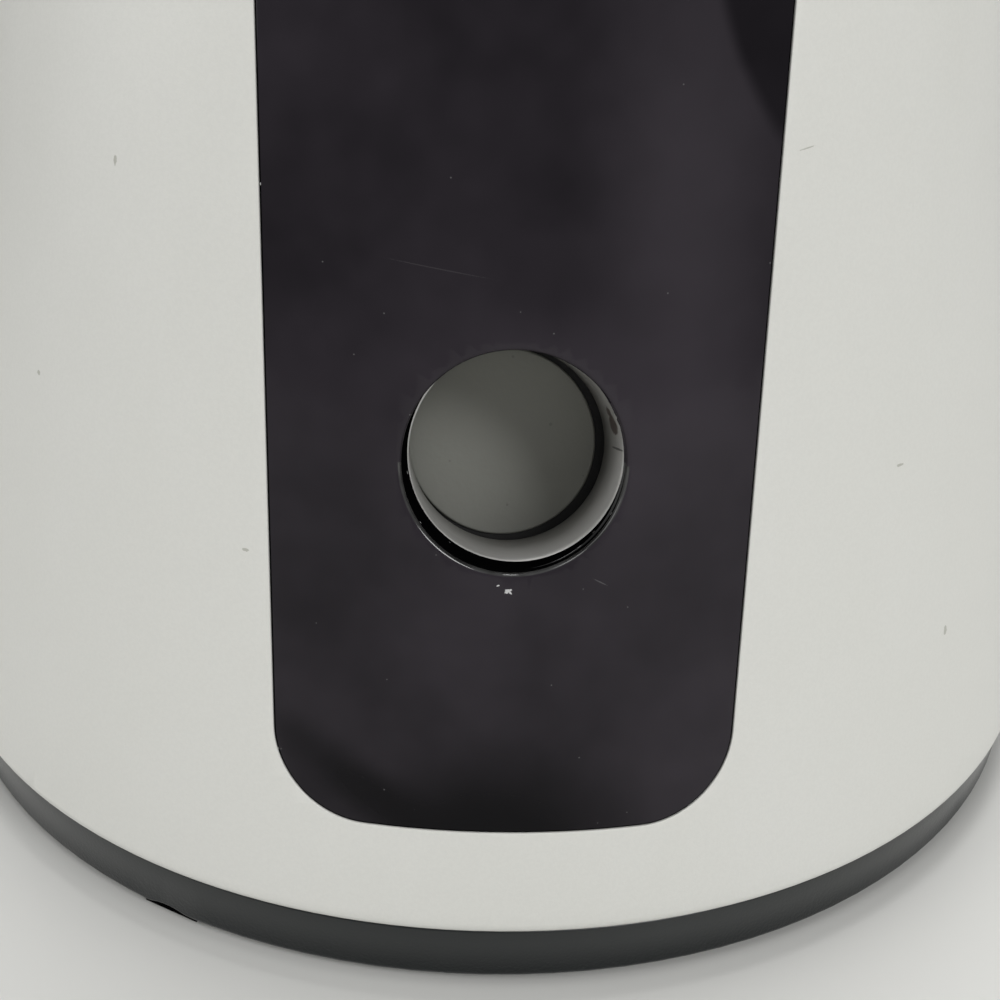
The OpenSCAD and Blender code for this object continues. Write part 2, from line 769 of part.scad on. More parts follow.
module launcher_housing() color("#4a5054") difference() {
    union() {
        launcher_outline(-housing_x, outlet_r);
        for (p = hangers)
            translate([p[0], p[1], drum_z]) cylinder(r = hanger_r, h = deck_z - drum_z);
        outlet_frame() difference() {
            block([-shutter_arm - servo_w / 2 - servo_frame, servo_ear_s - bracket_t,
                    servo_top - servo_h - servo_ear - servo_frame],
                [-outlet_r - fit, servo_ear_s, servo_top + servo_ear + servo_frame]);
            block([-shutter_arm - servo_w / 2 - fit, servo_s, servo_top - servo_h - fit],
                [-shutter_arm + servo_w / 2 + fit, servo_s + servo_len, servo_top + fit]);
        }
    }
    drum_space(drum_r, -outlet_r, housing_x);
    outlet_frame() block([-outlet_r, channel_s - over, -outlet_r], [housing_x, drum_s, outlet_r]);
    translate([0, drop_y, drum_z]) cylinder(r = chute_r, h = 2 * drum_out);
    drum_space(launcher_bush_r + run, -housing_x - over, 0);
    at_lugs(0) along_x(small_r, outlet_r - screw_bite - pilot, housing_x);
    for (p = hangers)
        translate([p[0], p[1], deck_z - screw_bite]) cylinder(r = screw_r, h = screw_bite + over);
    servo_ears(0) along_y(small_r, servo_ear_s - bracket_t - over, servo_ear_s + over);
}

module launcher_cover() color("#4a5054") difference() {
    launcher_outline(cover_x, flange_x);
    drum_space(launcher_shaft_r + room, cover_x - over, flange_x + over);
    at_lugs(0) along_x(small_r + fit, cover_x - over, flange_x + over);
    for (t = [-motor_screw_t, motor_screw_t])
        at_drum(0) translate([0, 0, t]) along_x(small_r, cover_x - over, flange_x + over);
}

module cover_screws() color("silver")
    at_lugs(flange_x) rotate([0, 90, 0]) screw(small_r, drum_wall + screw_bite);

module hanger_screws() color("silver")
    for (p = hangers) translate([p[0], p[1], deck_top]) screw(screw_r, deck_t + screw_bite - pilot);

module paddle_wheel() color("#d98c3a") at_drum(0) difference() {
    union() {
        along_x(paddle_hub_r, -paddle_x - hub_proud, paddle_x + hub_proud);
        for (i = [0:paddle_n - 1])
            rotate([360 * (i + 0.5) / paddle_n, 0, 0])
                block([-paddle_x, launcher_shaft_r + over, -paddle_t / 2],
                    [paddle_x, paddle_r, paddle_t / 2]);
    }
    along_x(launcher_shaft_r + run, -housing_x, housing_x);
}

module launcher_shaft() color("silver")
    drum_space(launcher_shaft_r, -housing_x - room, flange_x + shaft_reach);

module launcher_bush() color("#b5915a") difference() {
    union() {
        drum_space(launcher_bush_r, -housing_x, -outlet_r);
        drum_space(launcher_bush_r + launcher_bush_rim, -housing_x - launcher_bush_t, -housing_x);
    }
    drum_space(launcher_shaft_r + run, -2 * housing_x, 0);
}

module launcher_motor() color("#a9adb0") difference() {
    union() {
        drum_space(launcher_motor_r, flange_x, flange_x + launcher_motor_len);
        drum_space(launcher_motor_r / 3, flange_x, flange_x + launcher_motor_len + 2);
        at_drum(0) block([flange_x, -flange_w / 2, -motor_screw_t - lug_out],
            [flange_x + flange_t, flange_w / 2, motor_screw_t + lug_out]);
    }
    drum_space(launcher_shaft_r + run, 0, flange_x + shaft_reach + room);
    for (t = [-motor_screw_t, motor_screw_t])
        at_drum(0) translate([0, 0, t]) along_x(small_r + fit, 0, flange_x + flange_t + over);
}

module launcher_motor_screws() color("silver")
    for (t = [-motor_screw_t, motor_screw_t])
        at_drum(flange_x + flange_t) translate([0, 0, t])
            rotate([0, 90, 0]) screw(small_r, flange_t + drum_wall);

module outlet_tube() color("#e6e6e2") outlet_frame() difference() {
    union() {
        along_y(outlet_r + tube_wall, tube_s0, tube_s1);
        block([-ear_x, ear_s, -ear_r], [ear_x, ear_s + ear_t, ear_r]);
        for (x = [-ear_x, ear_x])
            translate([x, 0, 0]) along_y(ear_r, ear_s, ear_s + ear_t);
    }
    along_y(outlet_r, 0, tube_s1 + over);
    for (x = [-ear_x, ear_x])
        translate([x, 0, 0]) along_y(screw_r + fit, 0, tube_s1);
}

module tube_screws() color("silver") outlet_frame()
    for (x = [-ear_x, ear_x])
        translate([x, ear_s + ear_t, 0]) rotate([-90, 0, 0]) screw(screw_r, ear_t + ear_bite);

module shutter() color("#6c6e70") outlet_frame() difference() {
    union() {
        along_y(shutter_r, shutter_s, shutter_back);
        translate([shutter_face_x, 0, 0]) along_y(shutter_face_r, shutter_s - shutter_face_t, shutter_back);
        block([-shutter_arm, shutter_s, -shutter_hub_r + 1], [0, shutter_back, shutter_hub_r - 1]);
        translate([-shutter_arm, 0, 0])
            along_y(shutter_hub_r, shutter_s, shutter_back + shutter_hub_h);
    }
    translate([-shutter_arm, 0, 0])
        along_y(shutter_shaft_r + run, shutter_s - over, shutter_back + shutter_hub_h + over);
}

module shutter_shaft() color("silver") outlet_frame()
    translate([-shutter_arm, 0, 0]) along_y(shutter_shaft_r, shutter_s, servo_s + servo_bore - room);

module shutter_servo() color("#2f5f9e") difference() {
    outlet_frame() {
        block([-shutter_arm - servo_w / 2, servo_s, servo_top - servo_h],
            [-shutter_arm + servo_w / 2, servo_s + servo_len, servo_top]);
        block([-shutter_arm - servo_w / 2, servo_ear_s, servo_top - servo_h - servo_ear],
            [-shutter_arm + servo_w / 2, servo_ear_s + servo_ear_t, servo_top + servo_ear]);
    }
    outlet_frame() translate([-shutter_arm, 0, 0])
        along_y(shutter_shaft_r + run, servo_s - over, servo_s + servo_bore);
    servo_ears(servo_ear_s) along_y(small_r + fit, -over, servo_ear_t + over);
}

module servo_screws() color("silver")
    servo_ears(servo_ear_s + servo_ear_t)
        rotate([-90, 0, 0]) screw(small_r, servo_ear_t + bracket_t + pilot);

module camera_window() color("#20242c")
    camera_frame(camera_z) along_y(window_r, window_s, window_s + window_t);

module at_lamps() {
    for (a = [45:90:315])
        rotate([0, a, 0]) translate([lamp_ring, 0, 0]) children();
}

module camera_bezel() color("#151515") camera_frame(camera_z) difference() {
    along_y(aperture_r, window_s + window_t + fit, camera_pad);
    along_y(bezel_r, 0, camera_pad + over);
    at_lamps() along_y(lamp_r + fit / 2, 0, camera_pad + over);
}

module camera_lens() color("#3a4a66") camera_frame(camera_z) intersection() {
    along_y(lens_r, lens_s, lens_s + lens_t);
    translate([0, lens_s + 2 * lens_r, 0]) sphere(2 * lens_r, $fn = lens_fn);
}

module camera_barrel() color("#222222") camera_frame(camera_z) difference() {
    along_y(barrel_r, lens_s + lens_t / 2, camera_board_s);
    along_y(lens_r + fit / 2, lens_s, lens_s + lens_t);
}

module camera_board() color("#1f5a3a") camera_frame(camera_z) difference() {
    block([-camera_board_w / 2, camera_board_s, -camera_board_h / 2],
        [camera_board_w / 2, camera_board_s + camera_board_t, camera_board_h / 2]);
    for (x = [-camera_post_x, camera_post_x])
        translate([x, 0, 0]) along_y(small_r + fit, 0, 2 * camera_board_s);
}

module camera_screws() color("silver") camera_frame(camera_z)
    for (x = [-camera_post_x, camera_post_x])
        translate([x, camera_board_s + camera_board_t, 0])
            rotate([-90, 0, 0]) screw(small_r, camera_board_t + small_bite);

module infrared_lamps() color("#4a3040") camera_frame(camera_z)
    at_lamps() along_y(lamp_r, window_s + window_t + room, camera_board_s);

module status_light() color("#cfe3ee")
    camera_frame(status_z) along_y(status_r, status_sunk, status_len);

module ribbon_cable() color("#e9e4d0") translate([ribbon_x - ribbon_w / 2, 0, 0]) rotate([90, 0, 90])
    linear_extrude(ribbon_w) {
        bend_c = [ribbon_y + ribbon_bend, ribbon_low + ribbon_bend];
        polygon(concat([[ribbon_y - ribbon_t / 2, ribbon_top]],
            arc(bend_c, ribbon_bend + ribbon_t / 2, 180, 270),
            [[board_y0 - fit, ribbon_low - ribbon_t / 2], [board_y0 - fit, ribbon_low + ribbon_t / 2]],
            arc(bend_c, ribbon_bend - ribbon_t / 2, 270, 180),
            [[ribbon_y + ribbon_t / 2, ribbon_top]]));
    }

module board_corners() {
    for (x = [-board_x + board_inset, board_x - board_inset],
        y = [board_y0 + board_inset, board_y1 - board_inset])
        translate([x, y, 0]) children();
}

module main_board() color("#1f5a3a") difference() {
    block([-board_x, board_y0, board_z], [board_x, board_y1, board_top]);
    board_corners()
        translate([0, 0, board_z - over]) cylinder(r = small_r + fit, h = board_t + 2 * over);
}

module board_screws() color("silver")
    board_corners() translate([0, 0, board_top]) screw(small_r, board_t + small_bite);

module on_board(x, y) {
    translate([x, y, board_top]) children();
}

module board_block(size) {
    translate([-size[0] / 2, -size[1] / 2, 0]) cube(size);
}

module board_shield() color("#b9bdc0") on_board(shield_at[0], shield_at[1]) difference() {
    board_block(shield_size);
    translate([0, 0, -over])
        board_block(shield_size - [2 * shield_t, 2 * shield_t, shield_t - over]);
}

module board_chips() color("#191919") {
    on_board(shield_at[0], shield_at[1]) board_block(chip_size);
    for (y = small_chip_ys)
        on_board(small_chip_x, y) board_block(small_chip_size);
}

module capacitors() color("#30343c")
    for (x = capacitor_xs)
        on_board(x, capacitor_y) cylinder(r = capacitor_r, h = capacitor_h);

// Sockets: one for the ribbon at each end, three for the motors' leads
module connectors() color("#efe9d8") {
    plug_x0 = ribbon_x - ribbon_w / 2 - plug_side;
    plug_x1 = ribbon_x + ribbon_w / 2 + plug_side;
    camera_board_back = camera_board_s + camera_board_t;
    block([plug_x0, board_y0, board_top], [plug_x1, board_y0 + plug_l, board_top + plug_h]);
    camera_frame(camera_z)
        block([plug_x0, camera_board_back, -camera_board_h / 2],
            [plug_x1, camera_board_back + plug_h, plug_l - camera_board_h / 2]);
    for (y = socket_ys)
        on_board(board_x - socket_inset, y) board_block(socket_size);
}

module reset_switch() color("#2a2a2a") {
    on_board(button_x, board_y1 - switch_w / 2)
        board_block([switch_w, switch_w, inlet_z + switch_proud - board_top]);
    translate([button_x, 0, inlet_z]) along_y(switch_pin_r, board_y1, board_y1 + switch_reach);
}

module reset_button() color("#8e9294") translate([button_x, 0, inlet_z]) {
    along_y(button_r, board_y1 + switch_reach + button_travel + fit, button_end);
    along_y(button_r + button_rim, button_pad_y - button_rim_t - fit, button_pad_y - fit);
}

module power_inlet() color("#262626") translate([0, 0, inlet_z]) {
    difference() {
        union() {
            along_y(inlet_r, inlet_end - inlet_len, inlet_end);
            along_y(inlet_head_r, inlet_end - inlet_head_t, inlet_end);
        }
        along_y(inlet_bore_r, inlet_end - inlet_deep, inlet_end + over);
    }
    along_y(inlet_pin_r, inlet_end - inlet_deep - over, inlet_end - inlet_pin_s);
}

module inlet_nut() color("#9a9a98") translate([0, 0, inlet_z]) difference() {
    translate([0, inlet_pad_y - nut_t, 0])
        rotate([-90, 0, 0]) cylinder(r = inlet_r + nut_rim, h = nut_t, $fn = 6);
    along_y(inlet_r + run, 0, base_r);
}

// Turns a half outline of radius and depth about the speaker's axis
module speaker_turned() {
    speaker_place() rotate([90, 0, 0]) translate([0, 0, speaker_seat]) rotate_extrude() children();
}

module speaker_bolts(y) {
    speaker_place() for (a = [0, 120, 240])
        rotate([0, a, 0]) translate([speaker_r - speaker_bolt_in, y, 0]) children();
}

module speaker_frame() color("#3c3c3c") difference() {
    speaker_turned()
        polygon([[speaker_r - speaker_lip, 0], [speaker_r, 0], [speaker_r, speaker_flange_t],
            [speaker_r - 3.6, speaker_flange_t], [magnet_r + 1, speaker_depth - 4],
            [magnet_r + 1, speaker_depth], [0, speaker_depth], [0, speaker_depth - 5],
            [magnet_r - 1.5, speaker_depth - 5], [speaker_r - 4.8, speaker_flange_t]]);
    speaker_bolts(0) along_y(small_r + fit, -speaker_seat - speaker_flange_t - over, -speaker_seat + over);
}

module speaker_cone() color("#55524c") speaker_turned()
    polygon([[speaker_r - 4.2, 0.3], [speaker_r - 4.6, 0.9], [5, 5.2], [0, 4.4], [0, 3.8], [5, 4.4]]);

module speaker_screws() color("silver")
    speaker_bolts(-speaker_seat - speaker_flange_t)
        rotate([90, 0, 0]) screw(small_r, speaker_flange_t + ear_bite);

outer_shell();
front_panel();
base_tray();
rubber_feet();
base_screws();
lid();
lid_seal();
hopper();
hopper_screws();
deflector();
metering_wheel();
metering_shaft();
wheel_nut();
metering_gear();
shaft_bush();
drive_pinion();
gear_motor();
gear_motor_shaft();
gear_motor_screws();
chassis_deck();
deck_screws();
drop_chute();
launcher_housing();
launcher_cover();
cover_screws();
hanger_screws();
paddle_wheel();
launcher_shaft();
launcher_bush();
launcher_motor();
launcher_motor_screws();
outlet_tube();
tube_screws();
shutter();
shutter_shaft();
shutter_servo();
servo_screws();
camera_window();
camera_bezel();
camera_lens();
camera_barrel();
camera_board();
camera_screws();
infrared_lamps();
status_light();
ribbon_cable();
main_board();
board_screws();
board_shield();
board_chips();
capacitors();
connectors();
reset_switch();
reset_button();
power_inlet();
inlet_nut();
speaker_frame();
speaker_cone();
speaker_screws();
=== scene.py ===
"""Treat-throwing pet feeder with a camera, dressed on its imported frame.

Metres, +Z up, front towards -Y. Sizes come from the frame's boxes and a few driving dimensions.
"""
import json
import math

import bmesh
import bpy
from mathutils import Matrix, Quaternion, Vector


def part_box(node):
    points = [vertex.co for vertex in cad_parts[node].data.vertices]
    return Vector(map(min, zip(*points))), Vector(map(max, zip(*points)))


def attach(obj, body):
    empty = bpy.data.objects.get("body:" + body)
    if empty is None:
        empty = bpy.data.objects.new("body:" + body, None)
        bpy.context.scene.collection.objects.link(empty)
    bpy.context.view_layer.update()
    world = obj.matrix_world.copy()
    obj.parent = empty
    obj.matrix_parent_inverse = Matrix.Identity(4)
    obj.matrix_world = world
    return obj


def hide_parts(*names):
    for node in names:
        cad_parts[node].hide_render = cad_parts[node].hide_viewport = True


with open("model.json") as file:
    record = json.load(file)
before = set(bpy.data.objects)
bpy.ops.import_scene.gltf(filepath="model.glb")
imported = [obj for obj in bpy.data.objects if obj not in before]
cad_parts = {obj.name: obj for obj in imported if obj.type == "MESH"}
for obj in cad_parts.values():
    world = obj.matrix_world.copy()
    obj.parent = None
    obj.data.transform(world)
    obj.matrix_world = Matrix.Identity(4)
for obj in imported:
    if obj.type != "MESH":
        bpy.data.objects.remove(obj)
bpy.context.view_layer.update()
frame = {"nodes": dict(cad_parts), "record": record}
MM = 0.001

# Driving dimensions
shell_low, shell_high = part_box("outer_shell")
panel_low, panel_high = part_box("front_panel")
lid_low, lid_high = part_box("lid")
tray_low, tray_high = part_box("base_tray")
EDGE_Z = shell_low.z
SHELL_TOP = shell_high.z
BASE_R = 83 * MM
TAPER = math.radians(10)
WALL = 3 * MM
TOP_PLATE = 2.4 * MM
PANEL_HALF = (panel_high.x - panel_low.x) / 2
PANEL_CORNER = 9.25 * MM
PANEL_T = 1.6 * MM
PANEL_GAP = 0.14 * MM
OUTLET_Z = 59.3 * MM
OUTLET_R = 10.7 * MM
OUTLET_TILT = math.radians(18)
COLLAR_R = OUTLET_R + 0.05 * MM
TUBE_WALL = 1.5 * MM
TUBE_START = 6.6 * MM
TUBE_END = 19.2 * MM
TUBE_LIFT = 0.2 * MM
TUBE_LEAN_UP = math.radians(0.9)
TUBE_LEAN_SIDE = math.radians(2.2)
EAR_START = 11.2 * MM
EAR_T = 2 * MM
EAR_REACH = 11.5 * MM
EAR_HALF = 3.5 * MM
SHUTTER_START = 20.61 * MM
SHUTTER_END = 22.61 * MM
SHUTTER_FACE_R = 10.4 * MM
SHUTTER_SHIFT = Vector((-0.6, 0, 0.3)) * MM
SHUTTER_FACE_T = 0.6 * MM
SHUTTER_ARM = 26 * MM
ARM_HALF = 4 * MM
HUB_R = 5 * MM
HUB_BORE_R = 2.04 * MM
HUB_RISE = 2 * MM
CAMERA_Z = 165 * MM
WINDOW_R = 11 * MM
WINDOW_FIT = 0.15 * MM
WINDOW_S = 1.3 * MM
WINDOW_T = 1.5 * MM
LENS_R = 5.2 * MM
LENS_S = WINDOW_S + WINDOW_T + 0.6 * MM
LENS_T = 2 * MM
STATUS_Z = 140 * MM
STATUS_R = 1.5 * MM
MOUTH = Vector((0, 6 * MM, 0))
MOUTH_R = 36 * MM
LID_H = 12 * MM
LID_T = 2.4 * MM
LID_ROUND = 6 * MM
SPIGOT_R = 34.3 * MM
INLET_Z = 23 * MM
INLET_HEAD_R = 6.6 * MM
INLET_HEAD_T = 1.8 * MM
INLET_BODY_R = 5 * MM
INLET_LENGTH = 19 * MM
INLET_BORE_R = 3.2 * MM
INLET_BORE_DEPTH = 12 * MM
INLET_PIN_R = 1 * MM
INLET_PIN_BACK = 2 * MM
BUTTON_X = 24 * MM
BUTTON_R = 3 * MM
BUTTON_STOP = 4.6 * MM
BUTTON_STOP_T = 1.5 * MM
SPEAKER_Z = 60 * MM
GRILLE_STEP = 5 * MM
GRILLE_R = 1.3 * MM
NOTCH_ANGLE = 242.4
NOTCH_W = 7.6 * MM
NOTCH_H = 1.2 * MM
NOTCH_DEPTH = 3 * MM
FOOT_R = 7 * MM
FOOT_RING = 56 * MM
LATHE_STEPS = 160
MERGE = 1e-7
SLIVER = 1e-8
FIT = 0.1 * MM


def shell_r(z):
    """Outer radius of the shell at a height."""
    return BASE_R - (z - EDGE_Z) * math.tan(TAPER)


OUTLET_FRAME = Matrix.Translation((0, -shell_r(OUTLET_Z), OUTLET_Z)) @ Matrix.Rotation(-OUTLET_TILT, 4, "X")
TUBE_FRAME = (OUTLET_FRAME @ Matrix.Translation((0, TUBE_END, TUBE_LIFT))
              @ Matrix.Rotation(TUBE_LEAN_SIDE, 4, "Z") @ Matrix.Rotation(-TUBE_LEAN_UP, 4, "X")
              @ Matrix.Translation((0, -TUBE_END, 0)))
CAMERA_FRAME = Matrix.Translation((0, -shell_r(CAMERA_Z), CAMERA_Z)) @ Matrix.Rotation(-TAPER, 4, "X")
STATUS_FRAME = Matrix.Translation((0, -shell_r(STATUS_Z), STATUS_Z)) @ Matrix.Rotation(-TAPER, 4, "X")
SPEAKER_FRAME = (Matrix.Translation((0, shell_r(SPEAKER_Z), SPEAKER_Z)) @ Matrix.Rotation(TAPER, 4, "X")
                 @ Matrix.Rotation(math.pi, 4, "Z"))
INLET_FRAME = Matrix.Translation((0, shell_r(INLET_Z), INLET_Z)) @ Matrix.Rotation(math.pi, 4, "Z")
BUTTON_FRAME = Matrix.Translation((BUTTON_X, shell_r(INLET_Z), INLET_Z)) @ Matrix.Rotation(math.pi, 4, "Z")
ALONG_Y = Matrix.Rotation(-math.pi / 2, 4, "X")

# Camera, fitted to the photo
CAMERA_AT = Vector((-4.96, -176.51, 106.37)) * MM
CAMERA_TARGET = Vector((1.45, 0, 18.97)) * MM
CAMERA_ROLL = math.radians(1.95)
CAMERA_LENS = 43.2
CAMERA_SENSOR = 36


def make_camera():
    data = bpy.data.cameras.new("camera")
    data.lens = CAMERA_LENS
    data.sensor_width = CAMERA_SENSOR
    data.clip_start = 0.01
    camera = bpy.data.objects.new("camera", data)
    bpy.context.scene.collection.objects.link(camera)
    camera.rotation_mode = "QUATERNION"
    camera.location = CAMERA_AT
    aim = (CAMERA_TARGET - CAMERA_AT).to_track_quat("-Z", "Y")
    camera.rotation_quaternion = aim @ Quaternion((0, 0, 1), CAMERA_ROLL)
    bpy.context.scene.camera = camera


# Shader maths
class Value:
    """A shader socket that can stand in Python expressions."""

    def __init__(self, finish, socket):
        self.finish = finish
        self.socket = socket

    def math(self, operation, first, second):
        return self.finish.node("ShaderNodeMath", {"operation": operation}, {0: first, 1: second})

    def __add__(self, other):
        return self.math("ADD", self, other)

    def __radd__(self, other):
        return self.math("ADD", other, self)

    def __sub__(self, other):
        return self.math("SUBTRACT", self, other)

    def __rsub__(self, other):
        return self.math("SUBTRACT", other, self)

    def __mul__(self, other):
        return self.math("MULTIPLY", self, other)

    def __lt__(self, other):
        return self.math("LESS_THAN", self, other)

    def __gt__(self, other):
        return self.math("GREATER_THAN", self, other)


class Finish:
    """One material under construction, with Object coordinates at hand."""

    def __init__(self, name):
        self.material = bpy.data.materials.new(name)
        self.material.use_nodes = True
        self.tree = self.material.node_tree
        self.tree.nodes.clear()
        self.place = self.node("ShaderNodeTexCoord", out="Object")

    def node(self, kind, settings=None, inputs=None, out=0):
        made = self.tree.nodes.new(kind)
        for key, value in (settings or {}).items():
            if key == "stops":
                for stop, (at, colour) in zip(self.ramp_stops(made, len(value)), value):
                    stop.position = at
                    stop.color = colour
            else:
                setattr(made, key, value)
        for key, value in (inputs or {}).items():
            self.feed(made.inputs[key], value)
        return Value(self, made.outputs[out])

    def ramp_stops(self, made, count):
        stops = made.color_ramp.elements
        while len(stops) < count:
            stops.new(1)
        return stops

    def feed(self, socket, value):
        if isinstance(value, Value):
            self.tree.links.new(value.socket, socket)
        else:
            socket.default_value = value

    def noise(self, scale, detail=3, rough=0.55, place=None):
        return self.node("ShaderNodeTexNoise", None, {"Vector": place or self.place, "Scale": scale,
                                                      "Detail": detail, "Roughness": rough})

    def cells(self, scale, out="Distance", place=None):
        return self.node("ShaderNodeTexVoronoi", None,
                         {"Vector": place or self.place, "Scale": scale}, out)

    def stretched(self, x, y, z):
        return self.node("ShaderNodeMapping", None, {"Vector": self.place, "Scale": (x, y, z)})

    def ramp(self, value, low, high):
        """0 below low and 1 above high, smooth between."""
        return self.node("ShaderNodeMapRange", {"interpolation_type": "SMOOTHSTEP"},
                         {"Value": value, "From Min": low, "From Max": high})

    def mix(self, factor, first, second):
        """A colour mix: the sockets are numbered, because the node has several of each name."""
        return self.node("ShaderNodeMix", {"data_type": "RGBA"}, {0: factor, 6: first, 7: second}, 2)

    def local(self, place):
        """Object coordinates seen from a placed frame."""
        inverse = place.inverted()
        return self.node("ShaderNodeMapping", None, {"Vector": self.place, "Rotation": inverse.to_euler(),
                                                     "Location": inverse.translation})

    def along(self, vector, axis):
        return self.node("ShaderNodeSeparateXYZ", None, {"Vector": vector}, axis)

    def spot(self, place, sizes, ragged=0.5, core=0.7):
        """1 on the core of a mark of the given half sizes in mm and 0 round it, with a ragged border."""
        scale = tuple(1 / (size * MM) for size in sizes)
        near = self.node("ShaderNodeVectorMath", {"operation": "MULTIPLY"},
                         {0: self.local(place), 1: scale})
        reach = self.node("ShaderNodeVectorMath", {"operation": "LENGTH"}, {0: near}, "Value")
        waver = (self.noise(0.7 / (min(sizes) * MM), 3) - 0.5) * ragged
        return 1 - self.ramp(reach + waver, core, 1.0)

    def bump(self, height, strength, distance):
        return self.node("ShaderNodeBump", None,
                         {"Height": height, "Strength": strength, "Distance": distance})

    def done(self, **inputs):
        shader = self.node("ShaderNodeBsdfPrincipled", None,
                           {key.replace("_", " "): value for key, value in inputs.items()})
        self.feed(self.tree.nodes.new("ShaderNodeOutputMaterial").inputs["Surface"], shader)
        return self.material


def grey(level, tint=(1, 1, 1)):
    return (level * tint[0], level * tint[1], level * tint[2], 1)


def on_surface(degrees, height, turn=0):
    """A frame on the shell's face: X along it level, turned about its normal, Z up it."""
    angle = math.radians(degrees)
    return (Matrix.Translation(on_cone(angle, height * MM, 0)) @ Matrix.Rotation(angle, 4, "Z")
            @ Matrix.Rotation(math.radians(turn), 4, "Y"))


# Degrees round the shell, height, half width and half height in mm
SHELL_MARKS = (
    (40.7, 32.8, 0.35, 0.65),
    (33.4, 54.9, 0.55, 0.2),
    (-33.6, 83.4, 0.25, 0.5),
    (-20.2, 48.3, 0.5, 0.2),
    (-43.0, 60.0, 0.3, 0.3),
    (118, 96, 0.4, 0.25),
)


def shell_finish():
    """Satin white moulding with cloudy handling marks, fine grain, a few specks and a stray hair."""
    finish = Finish("shell_white")
    cloud = finish.ramp(finish.noise(11, 4, 0.6), 0.32, 0.70)
    wiped = finish.ramp(finish.noise(1, 5, 0.65, finish.stretched(34, 34, 16)), 0.45, 0.75)
    film = finish.ramp(finish.noise(95, 3), 0.45, 0.70)
    speck = (finish.cells(75) < 0.045) * (finish.noise(38, 1) > 0.56)
    marks = finish.spot(on_surface(22.3, 87.3, -12), (1.0, 1, 0.07), 1.4)
    for degrees, height, wide, tall in SHELL_MARKS:
        marks = marks + finish.spot(on_surface(degrees, height), (wide, 1, tall), 1.2)
    colour = finish.mix(cloud * 0.55, grey(0.745, (1, 1, 0.95)), grey(0.715, (1, 1, 0.94)))
    colour = finish.mix(wiped * 0.4, colour, grey(0.765, (1, 1, 0.96)))
    grain = finish.ramp(finish.noise(2400, 2, 0.6), 0.35, 0.65)
    colour = finish.mix(grain * 0.10, colour, grey(0.58, (1, 1, 0.95)))
    colour = finish.mix(speck * 0.35, colour, grey(0.30, (1, 0.95, 0.85)))
    colour = finish.mix(finish.ramp(marks, 0, 1) * 0.55, colour, grey(0.28, (1, 1, 0.8)))
    rough = 0.30 + cloud * 0.08 + wiped * 0.10 + film * 0.05
    return finish.done(Base_Color=colour, Roughness=rough, IOR=1.48,
                       Normal=finish.bump(finish.noise(5200, 2), 0.10, 0.0001))


BARE_BLACK = (0.0016, 0.0012, 0.0022, 1)
FILM_GREY = (0.0385, 0.0330, 0.0405, 1)
HAZE_GREY = (0.0600, 0.0530, 0.0620, 1)


def panel_finish():
    """Deep black gloss with a handling film, flecks, scratches and painted dark reflections low down and
    upper right.
    """
    finish = Finish("panel_black")
    # Painted dark reflections: a slanting band low on the left, the foot (level) and the upper right clear
    # the film to bare black.
    painted_dark_slant = finish.spot(on_surface(-9.5, 24.2, 31), (20, 12, 4.2), 0.3, 0.1)
    level = finish.spot(on_surface(-0.5, 19.0), (21, 12, 15), 0.2, 0.25)
    painted_dark_upper = finish.spot(on_surface(20.6, 98.5, -22), (6.8, 9, 17), 0.15, 0.75)
    haze = finish.spot(on_surface(13, 84), (13, 14, 42), 0.2, 0)
    film = finish.ramp(finish.noise(26, 4, 0.6), 0.05, 0.85) * (1 - painted_dark_slant * 0.9) * (1 - level)
    smear = finish.ramp(finish.noise(1, 5, 0.6, finish.stretched(30, 30, 9)), 0.48, 0.8)
    dust = (finish.cells(480) < 0.036) * (finish.noise(90, 2) > 0.52)
    flecks = finish.spot(on_surface(-0.92, 47.45, -25), (0.20, 1, 0.09), 1.2)
    flecks = flecks + finish.spot(on_surface(-0.20, 46.95, -20), (0.34, 1, 0.26), 2.6)
    flecks = flecks + finish.spot(on_surface(-0.02, 46.75, 35), (0.24, 1, 0.10), 1.6)
    scratches = finish.spot(on_surface(6.6, 47.7, 28), (0.9, 1, 0.06), 1.6)
    scratches = scratches + finish.spot(on_surface(-6.0, 77.0, 8), (5.5, 1, 0.05), 1.6) * 0.4
    scratches = scratches + finish.spot(on_surface(9.0, 131.0, -35), (4.0, 1, 0.05), 1.6)
    colour = finish.mix(film, BARE_BLACK, FILM_GREY)
    colour = finish.mix(haze * 0.4 * (1 - painted_dark_upper), colour, HAZE_GREY)
    colour = finish.mix(painted_dark_upper * 0.6, colour, BARE_BLACK)
    colour = finish.mix(dust * 0.3, colour, grey(0.30))
    colour = finish.mix(finish.ramp(scratches, 0, 1) * 0.18, colour, grey(0.35))
    colour = finish.mix(finish.ramp(flecks, 0, 1) * 0.9, colour, grey(0.62))
    rough = 0.05 + smear * 0.08 + film * 0.05 + dust * 0.4
    return finish.done(Base_Color=colour, Roughness=rough, IOR=1.24)


def rim_finish():
    """The outlet's polished lower front rim, paler in noise patches as a painted highlight line."""
    finish = Finish("rim_black")
    noise_patches = finish.ramp(finish.noise(160, 3), 0.40, 0.70)
    # The paler grey patches are a painted highlight along the rim.
    colour = finish.mix(noise_patches, grey(0.010), grey(0.055))
    return finish.done(Base_Color=colour, Roughness=0.06 + noise_patches * 0.10, IOR=1.6)


def collar_finish():
    """The outlet's dead black collar, with a few bright dust grains; the same dead black paints shade into
    the panel's border gap and the base's notch.
    """
    finish = Finish("collar_and_shade_black")
    dust = (finish.cells(520) < 0.09) * (finish.noise(150, 2) > 0.50)
    colour = finish.mix(dust * 0.7, (0.0016, 0.0016, 0.0018, 1), grey(0.55))
    return finish.done(Base_Color=colour, Roughness=0.5 + dust * 0.3, Specular_IOR_Level=0.0)


